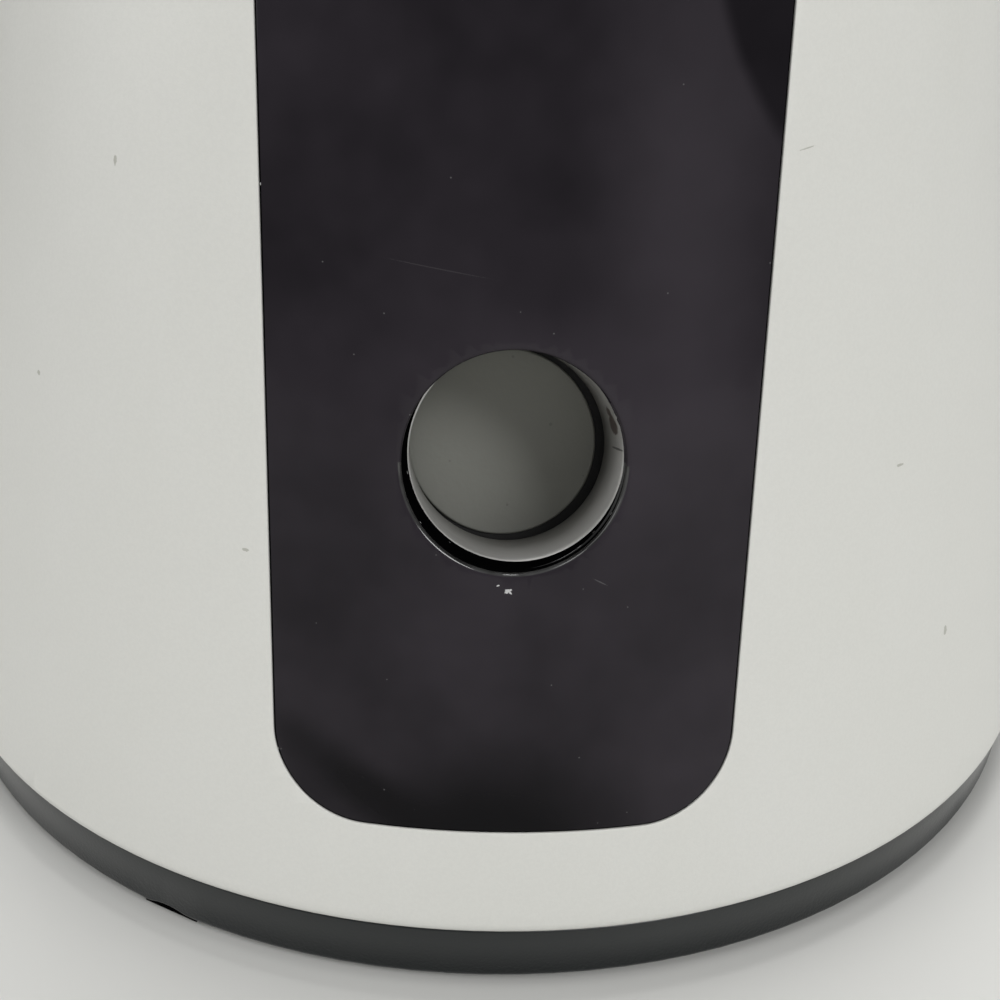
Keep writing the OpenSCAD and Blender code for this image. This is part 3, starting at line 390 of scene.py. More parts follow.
def base_finish():
    """Dark grey moulding with a fine spark texture; its gloss coat fades out towards the foot as painted
    shade.
    """
    finish = Finish("base_grey")
    grain = finish.noise(2600, 3)
    noise_patches = finish.ramp(finish.noise(60, 4), 0.45, 0.75)
    colour = finish.mix(noise_patches * 0.5, (0.004, 0.0062, 0.0068, 1), (0.008, 0.0105, 0.0108, 1))
    # Painted shade: the coat fades out over the lowest few millimetres, darkening the foot.
    coat_faded_for_foot_shade = finish.ramp(finish.along(finish.place, "Z"), 0.001, 0.0065)
    return finish.done(Base_Color=colour, Roughness=0.30 + noise_patches * 0.12, IOR=1.2, Sheen_Weight=0.08,
                       Coat_Weight=coat_faded_for_foot_shade, Coat_Roughness=0.34, Normal=finish.bump(grain, 0.25, 0.0002))


def in_outlet(x, y, z):
    """A frame at a place in mm in the outlet's own frame."""
    return OUTLET_FRAME @ Matrix.Translation(Vector((x, y, z)) * MM)


def tube_finish():
    """Smooth white bore with grime, brown marks, a fine crack, painted shade inwards and low left, and a
    painted edge highlight.
    """
    finish = Finish("tube_white")
    grime = finish.ramp(finish.noise(85, 4), 0.38, 0.75)
    depth = finish.along(finish.local(OUTLET_FRAME), "Y") + grime * 0.0015
    # Painted shade: the white darkens deeper into the bore.
    painted_inward_shade = finish.ramp(depth, TUBE_START + 2 * MM, TUBE_END + 1 * MM)
    # Painted shade towards the bore's lower left.
    slanted = OUTLET_FRAME @ Matrix.Rotation(math.radians(-35), 4, "Y")
    painted_side_shade = 1 - finish.ramp(finish.along(finish.local(slanted), "X"), -0.009, 0.004)
    stain = finish.spot(in_outlet(11.0, 11.4, 3.2), (1.6, 2.8, 1.2), 1.0)
    stain = stain + finish.spot(in_outlet(11.0, 12.2, 4.4), (1.6, 1.8, 0.7), 1.0)
    crack = finish.spot(in_outlet(11.0, 10.6, 0.7) @ Matrix.Rotation(-0.04, 4, "X"), (1.5, 4.0, 0.14), 0.8)
    # Painted highlight: the white lightens just inside the front edge.
    edge = 1 - finish.ramp(depth, TUBE_START + 0.3 * MM, TUBE_START + 1.4 * MM)
    colour = finish.mix(painted_inward_shade, grey(0.70, (1, 0.99, 0.96)), grey(0.24, (1, 0.98, 0.92)))
    colour = finish.mix(painted_side_shade * 0.4, colour, grey(0.12, (1, 0.98, 0.92)))
    colour = finish.mix(edge * (1 - painted_side_shade * 0.85), colour, grey(0.88, (1, 0.99, 0.96)))
    colour = finish.mix(grime * 0.25, colour, grey(0.20, (1, 0.96, 0.86)))
    colour = finish.mix(finish.ramp(stain, 0, 1) * 0.85, colour, (0.085, 0.045, 0.035, 1))
    colour = finish.mix(finish.ramp(crack, 0, 1) * 0.8, colour, grey(0.03))
    return finish.done(Base_Color=colour, Roughness=0.36 + grime * 0.2,
                       Normal=finish.bump(finish.noise(900, 2), 0.15, 0.0002))


def shutter_finish():
    """Matte grey gate with fine specks and painted shade darkening it towards its lower left."""
    finish = Finish("shutter_grey")
    noise_patches = finish.ramp(finish.noise(90, 4), 0.4, 0.75)
    speck = finish.cells(420) < 0.08
    colour = finish.mix(noise_patches * 0.5, grey(0.45, (1, 1.01, 0.91)), grey(0.49, (1, 1.01, 0.92)))
    # Painted shade towards the gate's lower left.
    slanted = OUTLET_FRAME @ Matrix.Rotation(math.radians(30), 4, "Y")
    painted_side_shade = 1 - finish.ramp(finish.along(finish.local(slanted), "Z"), -0.011, 0.002)
    colour = finish.mix(painted_side_shade * 0.65, colour, grey(0.16, (1, 1.01, 0.91)))
    colour = finish.mix(speck * 0.25, colour, grey(0.06))
    return finish.done(Base_Color=colour, Roughness=0.45 + noise_patches * 0.15,
                       Normal=finish.bump(finish.noise(1500, 2), 0.12, 0.0002))


def moulded_finish(name, colour, rough=0.42):
    """Plain moulded plastic: a little mottling, flow marks and grain in the given colour."""
    finish = Finish(name)
    mottle = finish.ramp(finish.noise(45, 4), 0.35, 0.75)
    lighter = tuple(min(1, c * 1.16) for c in colour[:3]) + (1,)
    return finish.done(Base_Color=finish.mix(mottle * 0.6, tuple(colour[:3]) + (1,), lighter),
                       Roughness=rough + mottle * 0.12,
                       Normal=finish.bump(finish.noise(2400, 2), 0.15, 0.0002))


def metal_finish(name, colour, rough=0.32):
    """Drawn or turned metal with fine lines and a little tarnish."""
    finish = Finish(name)
    lines = finish.noise(1, 4, 0.6, finish.stretched(400, 400, 4000))
    tarnish = finish.ramp(finish.noise(70, 4), 0.45, 0.8)
    darker = tuple(c * 0.75 for c in colour[:3]) + (1,)
    return finish.done(Base_Color=finish.mix(tarnish * 0.5, tuple(colour[:3]) + (1,), darker), Metallic=1.0,
                       Roughness=rough + lines * 0.12,
                       Normal=finish.bump(lines, 0.12, 0.0001))


def board_finish(name, colour):
    """Green solder mask with lighter tracks and small plated pads."""
    finish = Finish(name)
    track = finish.ramp(finish.noise(1, 1, 0.4, finish.stretched(160, 900, 160)), 0.52, 0.56)
    pad = finish.cells(520) < 0.16
    base = tuple(colour[:3]) + (1,)
    lighter = tuple(min(1, c * 1.7) for c in colour[:3]) + (1,)
    shade = finish.mix(pad * 0.8, finish.mix(track * 0.7, base, lighter), (0.55, 0.45, 0.25, 1))
    return finish.done(Base_Color=shade, Roughness=0.28 + pad * 0.1)


def glass_finish(name, colour, rough=0.02):
    """Dark tinted window: gloss over a smoky see-through sheet, which light crosses twice."""
    finish = Finish(name)
    smear = finish.ramp(finish.noise(60, 4), 0.5, 0.8)
    tint = tuple(c ** 0.4 for c in colour[:3]) + (1,)
    return finish.done(Base_Color=finish.mix(smear * 0.2, tint, grey(0.5)),
                       Roughness=rough + smear * 0.05, IOR=1.52, Transmission_Weight=0.95)


def rubber_finish(name, colour):
    """Matte rubber with a little pale dust."""
    finish = Finish(name)
    dust = finish.ramp(finish.noise(120, 4), 0.45, 0.8)
    return finish.done(Base_Color=finish.mix(dust * 0.4, tuple(colour[:3]) + (1,), grey(0.16)),
                       Roughness=0.75 + dust * 0.15,
                       Normal=finish.bump(finish.noise(3000, 2), 0.3, 0.0002))


SPECIAL = {
    "shell_white": shell_finish,
    "panel_black": panel_finish,
    "base_grey": base_finish,
    "tube_white": tube_finish,
    "shutter_grey": shutter_finish,
}
BY_CLASS = {
    "matte_plastic": moulded_finish,
    "gloss_plastic": moulded_finish,
    "fabric": moulded_finish,
    "brushed_steel": metal_finish,
    "brass": metal_finish,
    "rubber": rubber_finish,
    "glass": glass_finish,
}


def make_finishes():
    """One material for each slot of the record."""
    made = {}
    for entry in frame["record"]["materials"]:
        name = entry["slot"]
        if name in SPECIAL:
            made[name] = SPECIAL[name]()
        elif name == "board_green":
            made[name] = board_finish(name, entry["base_color"])
        else:
            made[name] = BY_CLASS[entry["class"]](name, entry["base_color"])
    made["collar_and_shade_black"] = collar_finish()
    made["rim_black"] = rim_finish()
    return made


# Mesh making
def fillet(corners, steps=6):
    """An outline of (x, y, radius) corners with each corner rounded by an arc."""
    points = []
    count = len(corners)
    for i, (x, y, radius) in enumerate(corners):
        at = Vector((x, y))
        if radius <= 0:
            points.append(at)
            continue
        back = (Vector(corners[i - 1][:2]) - at).normalized()
        ahead = (Vector(corners[(i + 1) % count][:2]) - at).normalized()
        half = back.angle(ahead) / 2
        centre = at + (back + ahead).normalized() * radius / math.sin(half)
        first = at + back * radius / math.tan(half) - centre
        turn = first.angle_signed(at + ahead * radius / math.tan(half) - centre)
        for k in range(steps + 1):
            points.append(centre + Matrix.Rotation(-turn * k / steps, 2) @ first)
    return points


def lathe(points, place=Matrix.Identity(4), steps=LATHE_STEPS):
    """A closed (radius, height) outline turned about the Z axis of place."""
    bm = bmesh.new()
    verts = [bm.verts.new((p[0], 0, p[1])) for p in points]
    edges = [bm.edges.new((verts[i - 1], verts[i])) for i in range(len(verts))]
    bmesh.ops.spin(bm, geom=verts + edges, cent=(0, 0, 0), axis=(0, 0, 1), angle=2 * math.pi,
                   steps=steps, use_merge=True)
    bmesh.ops.remove_doubles(bm, verts=bm.verts[:], dist=MERGE)
    bmesh.ops.dissolve_degenerate(bm, edges=bm.edges[:], dist=SLIVER)
    bmesh.ops.recalc_face_normals(bm, faces=bm.faces[:])
    bm.transform(place)
    return bm


def joined(*parts):
    """One bmesh from several."""
    whole = bmesh.new()
    for part in parts:
        mesh = bpy.data.meshes.new("part")
        part.to_mesh(mesh)
        part.free()
        whole.from_mesh(mesh)
        bpy.data.meshes.remove(mesh)
    return whole


def rounded_block(low, high, radius, place=Matrix.Identity(4)):
    bm = bmesh.new()
    bmesh.ops.create_cube(bm, size=1)
    size = Vector(high) - Vector(low)
    bmesh.ops.scale(bm, vec=size, verts=bm.verts[:])
    bmesh.ops.translate(bm, vec=(Vector(low) + Vector(high)) / 2, verts=bm.verts[:])
    bmesh.ops.bevel(bm, geom=bm.edges[:], offset=radius, segments=3, profile=0.5, affect="EDGES", material=-1)
    bm.transform(place)
    return bm


def piece(bm, name, slot, body, *nodes, sharp=35):
    """Makes the object, gives it its finish and seats it on its body."""
    mesh = bpy.data.meshes.new(name)
    bm.to_mesh(mesh)
    bm.free()
    mesh.shade_smooth()
    mesh.set_sharp_from_angle(angle=math.radians(sharp))
    made = bpy.data.objects.new(name, mesh)
    bpy.context.scene.collection.objects.link(made)
    mesh.materials.append(finishes[slot])
    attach(made, body)
    if nodes:
        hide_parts(*nodes)
    return made


# Sheets cut flat, with the angle round the axis and the height as coordinates, then wrapped on the cone
def flat_sheet(outlines, across, up):
    """A flat face between outlines, cut by lines at the given angles and heights.

    An outline is a row of rings of (angle, height) points: the first bounds the face, and the others run on
    to its edge.
    """
    bm = bmesh.new()
    edges = []
    strips = []
    for rings in outlines:
        rows = [[bm.verts.new((angle * BASE_R, height, 0)) for angle, height in ring] for ring in rings]
        edges += [bm.edges.new((rows[0][i - 1], rows[0][i])) for i in range(len(rows[0]))]
        for near, far in zip(rows, rows[1:]):
            strips += [(near[i - 1], near[i], far[i], far[i - 1]) for i in range(len(near))]
    bmesh.ops.triangle_fill(bm, edges=edges, use_beauty=True, normal=(0, 0, 1))
    for strip in strips:
        bm.faces.new(strip)
    cuts = [((angle * BASE_R, 0, 0), (1, 0, 0)) for angle in across] + [((0, z, 0), (0, 1, 0)) for z in up]
    for at, normal in cuts:
        bmesh.ops.bisect_plane(bm, geom=bm.verts[:] + bm.edges[:] + bm.faces[:], dist=MERGE,
                               plane_co=at, plane_no=normal)
    return bm


def wrap(bm, sunk):
    """Wraps a flat sheet on the cone, each point sunk below it by sunk(x, z, angle)."""
    for vert in bm.verts:
        angle = vert.co.x / BASE_R
        z = vert.co.y
        r = shell_r(z)
        depth = sunk(r * math.sin(angle), z, angle)
        vert.co = on_cone(angle, z, depth)
    bmesh.ops.remove_doubles(bm, verts=bm.verts[:], dist=MERGE)
    bmesh.ops.recalc_face_normals(bm, faces=bm.faces[:])


def on_cone(angle, z, depth):
    r = shell_r(z) - depth * math.cos(TAPER)
    return Vector((r * math.sin(angle), -r * math.cos(angle), z - depth * math.sin(TAPER)))


def thicken(bm, thickness, moved=None):
    """Gives a wrapped sheet its wall, and moves the inner points that moved names."""
    inner = bmesh.ops.extrude_face_region(bm, geom=bm.faces[:], use_keep_orig=True)["geom"]
    for vert in [g for g in inner if isinstance(g, bmesh.types.BMVert)]:
        angle = math.atan2(vert.co.x, -vert.co.y)
        other = moved(vert.co) if moved else None
        step = on_cone(angle, EDGE_Z, thickness) - on_cone(angle, EDGE_Z, 0)
        vert.co = other if other else vert.co + step
    bmesh.ops.recalc_face_normals(bm, faces=bm.faces[:])


def round_over(inset, radius):
    """How far a rounded edge drops at a distance in from the edge."""
    if inset >= radius:
        return 0
    return radius - math.sqrt(max(0, radius ** 2 - (radius - inset) ** 2))


def panel_inset(x, z):
    """Distance in from the panel's outline, negative outside it."""
    half_z = (panel_high.z - panel_low.z) / 2
    dx = abs(x) - PANEL_HALF + PANEL_CORNER
    dz = abs(z - (panel_high.z + panel_low.z) / 2) - half_z + PANEL_CORNER
    return PANEL_CORNER - math.hypot(max(dx, 0), max(dz, 0)) - min(max(dx, dz), 0)


SIDE_STEP = 4 * MM


def panel_outline(grow):
    """The panel's outline on the cone, grown outwards, as (angle, height) points."""
    w = PANEL_HALF + grow
    low = panel_low.z - grow
    high = panel_high.z + grow
    r = PANEL_CORNER + grow
    corners = fillet([(w, low, r), (w, high, r), (-w, high, r), (-w, low, r)], 20)
    path = []
    for k, end in enumerate(corners):
        start = corners[k - 1]
        parts = max(1, round((end - start).length / SIDE_STEP))
        path += [start.lerp(end, (i + 1) / parts) for i in range(parts)]
    return [(math.asin(p.x / shell_r(p.y)), p.y) for p in path]


def bore_outline(place, radius, count=96):
    """Where a bore along place's Y axis meets the cone, as (angle, height) points."""
    loop = []
    for k in range(count):
        turn = 2 * math.pi * k / count
        depth = 0
        for _ in range(12):
            at = place @ Vector((radius * math.cos(turn), depth, radius * math.sin(turn)))
            depth += math.hypot(at.x, at.y) - shell_r(at.z)
        loop.append((math.atan2(at.x, -at.y), at.z))
    return loop


def bore_distance(place, at):
    local = place.inverted() @ at
    return math.hypot(local.x, local.z)


def steps_between(low, high, step):
    count = max(1, round((high - low) / step))
    return [low + (high - low) * k / count for k in range(1, count)]


RIM_STEPS = (0.45 * MM, 0.25 * MM, 0.13 * MM, 0.05 * MM, 0)
PANEL_ROUND = 0.30 * MM
PANEL_GROW = 0.10 * MM
RIM_ROUND = 0.45 * MM


def front_panel():
    """The black strip: rounded edges, a collar behind the outlet, holes for the camera and the light."""
    outlines = [[panel_outline(PANEL_GROW - step) for step in RIM_STEPS],
                [bore_outline(OUTLET_FRAME, COLLAR_R + step) for step in RIM_STEPS],
                [bore_outline(CAMERA_FRAME, WINDOW_R + WINDOW_FIT)],
                [bore_outline(STATUS_FRAME, STATUS_R + FIT, 32)]]
    width = math.asin(PANEL_HALF / shell_r(panel_high.z))
    bm = flat_sheet(outlines, steps_between(-width, width, 0.02),
                    steps_between(panel_low.z, panel_high.z, 2.5 * MM))

    def sunk(x, z, angle):
        inset = panel_inset(x, z) + PANEL_GROW
        rim = bore_distance(OUTLET_FRAME, on_cone(angle, z, 0)) - COLLAR_R
        return max(round_over(inset, PANEL_ROUND), round_over(rim, RIM_ROUND))

    def collar(at):
        local = OUTLET_FRAME.inverted() @ at
        if math.hypot(local.x, local.z) < COLLAR_R + 0.03 * MM:
            near = (OUTLET_R + 0.2 * MM) / COLLAR_R
            return TUBE_FRAME @ Vector((local.x * near, TUBE_START - FIT, local.z * near))
        return None

    wrap(bm, sunk)
    thicken(bm, PANEL_T, collar)
    axis = OUTLET_FRAME.to_3x3() @ Vector((0, 1, 0))
    for face in bm.faces:
        at = face.calc_center_median()
        middle = OUTLET_FRAME.inverted() @ at
        out = math.hypot(middle.x, middle.z) - COLLAR_R
        in_collar = out < 1 * MM and abs(face.normal.dot(axis)) < 0.25
        # Faces along the panel's outer edge take the dead black finish: painted shade of the gap to the
        # shell.
        at_border = panel_inset(at.x, at.z) + PANEL_GROW < RIM_STEPS[1]
        if in_collar or at_border:
            face.material_index = 1
        # The lower half of the outlet rim takes the rim finish, whose paler patches are a painted highlight.
        elif out < RIM_STEPS[1] and middle.z < 0:
            face.material_index = 2
    strip = piece(bm, "front_strip", "panel_black", "casing", "front_panel")
    strip.data.materials.append(finishes["collar_and_shade_black"])
    strip.data.materials.append(finishes["rim_black"])


SHELL_STEPS = (0.12 * MM, 0.06 * MM, 0.02 * MM, 0)
SKIRT = 0.6 * MM
LIP_ROUND = 1.4 * MM
LIP_STEPS = (0.04 * MM, 0.14 * MM, 0.32 * MM, 0.55 * MM, 0.9 * MM, 1.4 * MM)


def grille_frames():
    for ring in range(3):
        for k in range(max(1, 6 * ring)):
            turn = 2 * math.pi * k / max(1, 6 * ring)
            yield SPEAKER_FRAME @ Matrix.Translation((ring * GRILLE_STEP * math.cos(turn), 0,
                                                      ring * GRILLE_STEP * math.sin(turn)))


def around_back(loop):
    return [(angle % (2 * math.pi), z) for angle, z in loop]


def outer_shell():
    """The white cone with its panel opening, rounded lower lip, back holes and top plate."""
    start = -math.pi / 2
    foot = EDGE_Z - SKIRT
    end = start + 2 * math.pi
    border = [(start, foot), (end, foot), (end, SHELL_TOP), (start, SHELL_TOP)]
    outlines = [[border], [panel_outline(PANEL_GAP + step) for step in SHELL_STEPS],
                [around_back(bore_outline(INLET_FRAME, INLET_HEAD_R + FIT, 48))],
                [around_back(bore_outline(BUTTON_FRAME, BUTTON_R + FIT, 32))]]
    outlines += [[around_back(bore_outline(place, GRILLE_R, 20))] for place in grille_frames()]
    across = [start + math.radians(a) for a in range(2, 360, 2)]
    up = [foot + step for step in LIP_STEPS] + steps_between(foot, SHELL_TOP, 4 * MM)
    bm = flat_sheet(outlines, across, up)

    def sunk(x, z, angle):
        lip = round_over(z - foot, LIP_ROUND)
        if abs(angle) > math.pi / 2:
            return lip
        return max(lip, round_over(-panel_inset(x, z) - PANEL_GAP, SHELL_STEPS[0]))

    def skirt(at):
        rise = at.z - foot
        if rise > 2 * SKIRT:
            return None
        return on_cone(math.atan2(at.x, -at.y), EDGE_Z + rise / 2, WALL)

    wrap(bm, sunk)
    thicken(bm, WALL, skirt)
    plate = bmesh.new()
    bmesh.ops.create_circle(plate, segments=LATHE_STEPS, radius=shell_r(SHELL_TOP) - 0.2 * MM)
    mouth = bmesh.ops.create_circle(plate, segments=LATHE_STEPS, radius=MOUTH_R)["verts"]
    bmesh.ops.translate(plate, vec=MOUTH, verts=mouth)
    bmesh.ops.triangle_fill(plate, edges=plate.edges[:], use_beauty=True, normal=(0, 0, 1))
    top = bmesh.ops.extrude_face_region(plate, geom=plate.faces[:], use_keep_orig=True)["geom"]
    raised = [g for g in top if isinstance(g, bmesh.types.BMVert)]
    bmesh.ops.translate(plate, vec=(0, 0, TOP_PLATE), verts=raised)
    bmesh.ops.recalc_face_normals(plate, faces=plate.faces[:])
    bmesh.ops.translate(plate, vec=(0, 0, SHELL_TOP - TOP_PLATE), verts=plate.verts[:])
    backing = flat_sheet([[panel_outline(2 * MM)], [bore_outline(OUTLET_FRAME, COLLAR_R + 2 * MM)],
                          [bore_outline(CAMERA_FRAME, WINDOW_R - 1.4 * MM)],
                          [bore_outline(STATUS_FRAME, STATUS_R, 32)]],
                         steps_between(-0.5, 0.5, 0.04), steps_between(panel_low.z, panel_high.z, 5 * MM))
    wrap(backing, lambda x, z, angle: PANEL_T + 0.15 * MM)
    thicken(backing, WALL - PANEL_T - 0.2 * MM)
    piece(joined(bm, plate, backing), "shell_casing", "shell_white", "casing", "outer_shell")


def rounded_node(node, radius):
    """A copy of a CAD node with its sharp edges rounded."""
    bm = bmesh.new()
    bm.from_mesh(frame["nodes"][node].data)
    bmesh.ops.remove_doubles(bm, verts=bm.verts[:], dist=2e-6)
    bmesh.ops.dissolve_limit(bm, angle_limit=math.radians(1), verts=bm.verts[:], edges=bm.edges[:])
    sharp = [edge for edge in bm.edges if edge.calc_face_angle(0) > math.radians(40)]
    bmesh.ops.bevel(bm, geom=sharp, offset=radius, segments=2, profile=0.5, affect="EDGES", material=-1)
    return bm


def lid():
    """The lift-off cap: rounded top edge, hollow underside and a spigot for the mouth."""
    low = lid_high.z - LID_H
    top = lid_high.z
    outline = fillet([(0, top - LID_T, 0), (shell_r(top) - LID_T, top - LID_T, LID_ROUND - LID_T),
                      (shell_r(low) - LID_T, low, 0.4 * MM), (shell_r(low), low, 0.5 * MM),
                      (shell_r(top), top, LID_ROUND), (0, top, 0)], 10)
    ring = fillet([(SPIGOT_R - LID_T, lid_low.z, 0.6 * MM), (SPIGOT_R, lid_low.z, 0.6 * MM),
                   (SPIGOT_R, top - LID_T / 2, 0), (SPIGOT_R - LID_T, top - LID_T / 2, 0)])
    piece(joined(lathe(outline, steps=240), lathe(ring, Matrix.Translation(MOUTH))),
          "lift_off_lid", "shell_white", "lid", "lid")


def outlet_tube():
    """The white bore with a soft front edge and its two fixing ears."""
    place = TUBE_FRAME @ ALONG_Y
    outer_r = OUTLET_R + TUBE_WALL
    outline = fillet([(OUTLET_R, TUBE_START, 0.35 * MM), (OUTLET_R, TUBE_END, 0.3 * MM),
                      (outer_r, TUBE_END, 0.3 * MM), (outer_r, TUBE_START, 0.35 * MM)])
    parts = [lathe(outline, place)]
    for side in (-1, 1):
        inner, outer = sorted((side * (OUTLET_R + 1 * MM), side * (OUTLET_R + EAR_REACH)))
        parts.append(rounded_block((inner, EAR_START, -EAR_HALF), (outer, EAR_START + EAR_T, EAR_HALF),
                                   0.5 * MM, OUTLET_FRAME))
    piece(joined(*parts), "outlet_bore", "tube_white", "casing", "outlet_tube")


def shutter():
    """The grey gate: a disc with a rounded rim on an arm with a hub."""
    place = OUTLET_FRAME @ ALONG_Y
    r = OUTLET_R + TUBE_WALL
    face = SHUTTER_START - SHUTTER_FACE_T
    sunk = SHUTTER_START + 0.2 * MM
    front = fillet([(0, face, 0), (SHUTTER_FACE_R, face, 0.3 * MM), (SHUTTER_FACE_R, sunk, 0), (0, sunk, 0)])
    disc = fillet([(0, SHUTTER_START, 0), (r, SHUTTER_START, 0.3 * MM), (r, SHUTTER_END, 0.5 * MM),
                   (0, SHUTTER_END, 0)])
    # A black rubber seal round the gate's face; its black also stands in for the shade between the gate and
    # the tube's end.
    seal_r = r - 0.2 * MM
    proud = SHUTTER_START - 0.1 * MM
    shade_seal = fillet([(SHUTTER_FACE_R, proud, 0), (seal_r, proud, 0.2 * MM), (seal_r, sunk, 0),
                   (SHUTTER_FACE_R, sunk, 0)])
    off = OUTLET_FRAME @ Matrix.Translation(SHUTTER_SHIFT) @ ALONG_Y
    hub_end = SHUTTER_END + HUB_RISE
    hub = fillet([(HUB_BORE_R, SHUTTER_START, 0), (HUB_R, SHUTTER_START, 0.5 * MM),
                  (HUB_R, hub_end, 0.5 * MM), (HUB_BORE_R, hub_end, 0)])
    arm = rounded_block((-SHUTTER_ARM + ARM_HALF, SHUTTER_START + 0.1 * MM, -ARM_HALF),
                        (-OUTLET_R, SHUTTER_END, ARM_HALF), 0.4 * MM, OUTLET_FRAME)
    pivot = OUTLET_FRAME @ Matrix.Translation((-SHUTTER_ARM, 0, 0)) @ ALONG_Y
    piece(joined(lathe(front, off), lathe(disc, place), arm, lathe(hub, pivot, 64)),
          "outlet_gate", "shutter_grey", "shutter", "shutter")
    piece(lathe(shade_seal, off), "gate_shade_seal", "part_black", "shutter")


def rubber_feet():
    """Four soft pads with rounded rims and a shallow dish underneath."""
    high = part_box("rubber_feet")[1].z
    outline = fillet([(0, 0.3 * MM, 0), (FOOT_R - 3 * MM, 0.3 * MM, 0), (FOOT_R - 2.4 * MM, 0, 0.2 * MM),
                      (FOOT_R, 0, 0.5 * MM), (FOOT_R, high, 0.2 * MM), (0, high, 0)])
    turns = [Matrix.Rotation(math.radians(a), 4, "Z") for a in (45, 135, 225, 315)]
    parts = [lathe(outline, turn @ Matrix.Translation((FOOT_RING, 0, 0)), 64) for turn in turns]
    piece(joined(*parts), "foot_pads", "rubber", "casing", "rubber_feet")


def notch_shade_insert():
    """A dead black insert in the base's arched cable notch, set back from the ring's face, standing in for
    the shade in the notch.
    """
    arch = (NOTCH_W ** 2 / 4 + NOTCH_H ** 2) / (2 * NOTCH_H)
    inner = arch - 0.03 * MM
    middle = Vector((tray_high.x - (NOTCH_DEPTH + 0.6 * MM) / 2, 0, tray_low.z + NOTCH_H - arch))
    bm = bmesh.new()
    bmesh.ops.create_cone(bm, cap_ends=True, segments=160, radius1=inner, radius2=inner,
                          depth=NOTCH_DEPTH - 0.5 * MM)
    bm.transform(Matrix.Translation(middle) @ Matrix.Rotation(math.pi / 2, 4, "Y"))
    cut = bmesh.ops.bisect_plane(bm, geom=bm.verts[:] + bm.edges[:] + bm.faces[:], dist=MERGE,
                                 clear_inner=True, plane_co=(0, 0, tray_low.z), plane_no=(0, 0, 1))
    bmesh.ops.contextual_create(bm, geom=[g for g in cut["geom_cut"] if isinstance(g, bmesh.types.BMEdge)])
    bm.transform(Matrix.Rotation(math.radians(NOTCH_ANGLE), 4, "Z"))
    insert = piece(bm, "notch_shade_insert", "part_black", "casing")
    # The dead black finish paints the shade inside the notch.
    insert.data.materials[0] = finishes["collar_and_shade_black"]


def camera_glass():
    """The smoked window with a polished rim, the domed lens behind it and the clear light pipe."""
    window = fillet([(0, WINDOW_S, 0), (WINDOW_R, WINDOW_S, 0.35 * MM),
                     (WINDOW_R, WINDOW_S + WINDOW_T, 0.2 * MM), (0, WINDOW_S + WINDOW_T, 0)])
    piece(lathe(window, CAMERA_FRAME @ ALONG_Y), "camera_cover", "window_glass", "casing", "camera_window")
    dome = 2 * LENS_R
    radii = [LENS_R * k / 12 for k in range(13)]
    rise = [(r, LENS_S + dome - math.sqrt(dome ** 2 - r ** 2)) for r in radii]
    back = [(LENS_R, LENS_S + LENS_T), (0, LENS_S + LENS_T)]
    piece(lathe(rise + back, CAMERA_FRAME @ ALONG_Y, 96), "camera_eye", "lens_glass", "casing", "camera_lens")
    light = fillet([(0, 0.2 * MM, 0), (STATUS_R, 0.2 * MM, 0.5 * MM), (STATUS_R, 8 * MM, 0), (0, 8 * MM, 0)])
    piece(lathe(light, STATUS_FRAME @ ALONG_Y, 48), "light_pipe", "light_clear", "casing", "status_light")


def reset_button():
    """The grey push button: dished cap, stem and its stop rim inside the wall."""
    low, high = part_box("reset_button")
    rim = (high.x - low.x) / 2
    stop = math.sqrt((shell_r(INLET_Z) - WALL) ** 2 - BUTTON_X ** 2) - BUTTON_STOP
    stop_start = stop - BUTTON_STOP_T
    outline = fillet([(0, low.y, 0), (BUTTON_R, low.y, 0.2 * MM), (BUTTON_R, stop_start, 0),
                      (rim, stop_start, 0.3 * MM), (rim, stop, 0.3 * MM), (BUTTON_R, stop, 0),
                      (BUTTON_R, high.y, 0.5 * MM), (BUTTON_R - 0.8 * MM, high.y, 0.1 * MM),
                      (0, high.y - 0.3 * MM, 0)])
    place = Matrix.Translation((BUTTON_X, 0, INLET_Z)) @ ALONG_Y
    piece(lathe(outline, place, 64), "reset_cap", "button_grey", "reset_button", "reset_button")


def power_inlet():
    """The barrel socket: flanged rim, round bore and a domed centre pin."""
    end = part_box("power_inlet")[1].y
    deep = end - INLET_BORE_DEPTH
    tip = end - INLET_PIN_BACK
    seat = end - INLET_HEAD_T
    back = end - INLET_LENGTH
    outline = fillet([(0, tip, 0), (INLET_PIN_R, tip, 0.6 * MM), (INLET_PIN_R, deep, 0),
                      (INLET_BORE_R, deep, 0.3 * MM), (INLET_BORE_R, end, 0.4 * MM),
                      (INLET_HEAD_R, end, 0.6 * MM), (INLET_HEAD_R, seat, 0.2 * MM), (INLET_BODY_R, seat, 0),
                      (INLET_BODY_R, back, 0.4 * MM), (0, back, 0)])
    place = Matrix.Translation((0, 0, INLET_Z)) @ ALONG_Y
    piece(lathe(outline, place, 96), "power_socket", "part_black", "casing", "power_inlet")


TRAY_ROUND = 0.35 * MM
EDGE_ROUND = 0.2 * MM
FINE_ROUND = 0.08 * MM
REPLACED = ("outer_shell", "front_panel", "lid", "outlet_tube", "shutter", "rubber_feet", "camera_window",
            "camera_lens", "status_light", "reset_button", "power_inlet")
FINE = ("_screws", "_gear", "_pinion", "_chips", "_shield", "_board", "_cable", "_lamps", "_cone", "_seal")


def rounded_nodes():
    """Every other CAD node, with its moulded or turned edges rounded."""
    body_of = {node: body for body, nodes in frame["record"]["behaviour"]["bodies"].items() for node in nodes}
    for entry in frame["record"]["subparts"]:
        node = entry["node"]
        if node in REPLACED:
            continue
        radius = TRAY_ROUND if node == "base_tray" else FINE_ROUND if node.endswith(FINE) else EDGE_ROUND
        piece(rounded_node(node, radius), node + "_rounded", entry["material_slot"], body_of[node], node)


# Studio
FLOOR_SPAN = 3.0


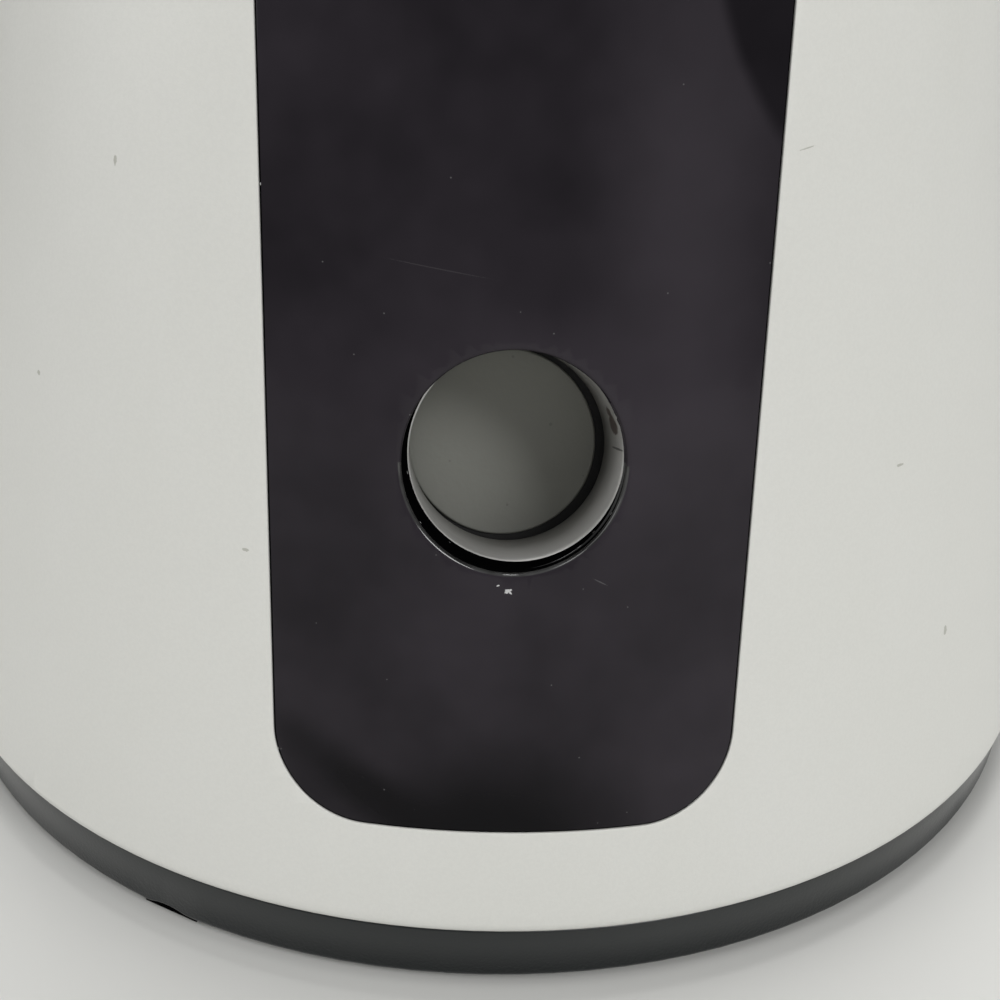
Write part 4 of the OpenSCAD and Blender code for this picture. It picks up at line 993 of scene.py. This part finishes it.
def make_floor():
    bm = bmesh.new()
    bmesh.ops.create_grid(bm, x_segments=8, y_segments=8, size=FLOOR_SPAN / 2)
    mesh = bpy.data.meshes.new("floor")
    bm.to_mesh(mesh)
    bm.free()
    floor = bpy.data.objects.new("floor", mesh)
    bpy.context.scene.collection.objects.link(floor)
    finish = Finish("table_pale")
    cloud = finish.noise(9, 4)
    colour = finish.mix(cloud * 0.4, grey(0.67, (1, 1, 0.965)), grey(0.71, (1, 1, 0.965)))
    mesh.materials.append(finish.done(Base_Color=colour, Roughness=0.6))


def make_lamp(name, at, target, size, power):
    data = bpy.data.lights.new(name, "AREA")
    data.shape = "DISK"
    data.size = size
    data.energy = power
    lamp = bpy.data.objects.new(name, data)
    bpy.context.scene.collection.objects.link(lamp)
    lamp.location = at
    lamp.rotation_mode = "QUATERNION"
    lamp.rotation_quaternion = (Vector(target) - Vector(at)).to_track_quat("-Z", "Y")


def make_light():
    world = bpy.data.worlds.new("studio")
    bpy.context.scene.world = world
    world.use_nodes = True
    back = world.node_tree.nodes["Background"]
    back.inputs["Color"].default_value = grey(0.84)
    back.inputs["Strength"].default_value = 0.32
    make_lamp("key", (0.58, -0.92, 0.82), (0, 0, 0.06), 0.6, 7.0)
    make_lamp("fill", (-1.25, -0.3, 0.7), (0, 0, 0.1), 1.0, 3.7)
    make_lamp("front", (-0.65, -0.75, 1.2), (0, -0.05, 0.06), 0.5, 2.2)
    make_lamp("glint", (0.05, -0.15, 1.0), (0, -0.07, 0.06), 0.12, 0.5)
    make_lamp("top", (0.05, 0.27, 1.2), (0, 0, 0.05), 0.45, 6.5)


make_camera()
finishes = make_finishes()
for entry in frame["record"]["subparts"]:
    node_mesh = frame["nodes"][entry["node"]].data
    node_mesh.materials.clear()
    node_mesh.materials.append(finishes[entry["material_slot"]])
front_panel()
outer_shell()
lid()
outlet_tube()
shutter()
rubber_feet()
notch_shade_insert()
camera_glass()
reset_button()
power_inlet()
rounded_nodes()
make_floor()
make_light()
bpy.context.scene.view_settings.view_transform = "Standard"
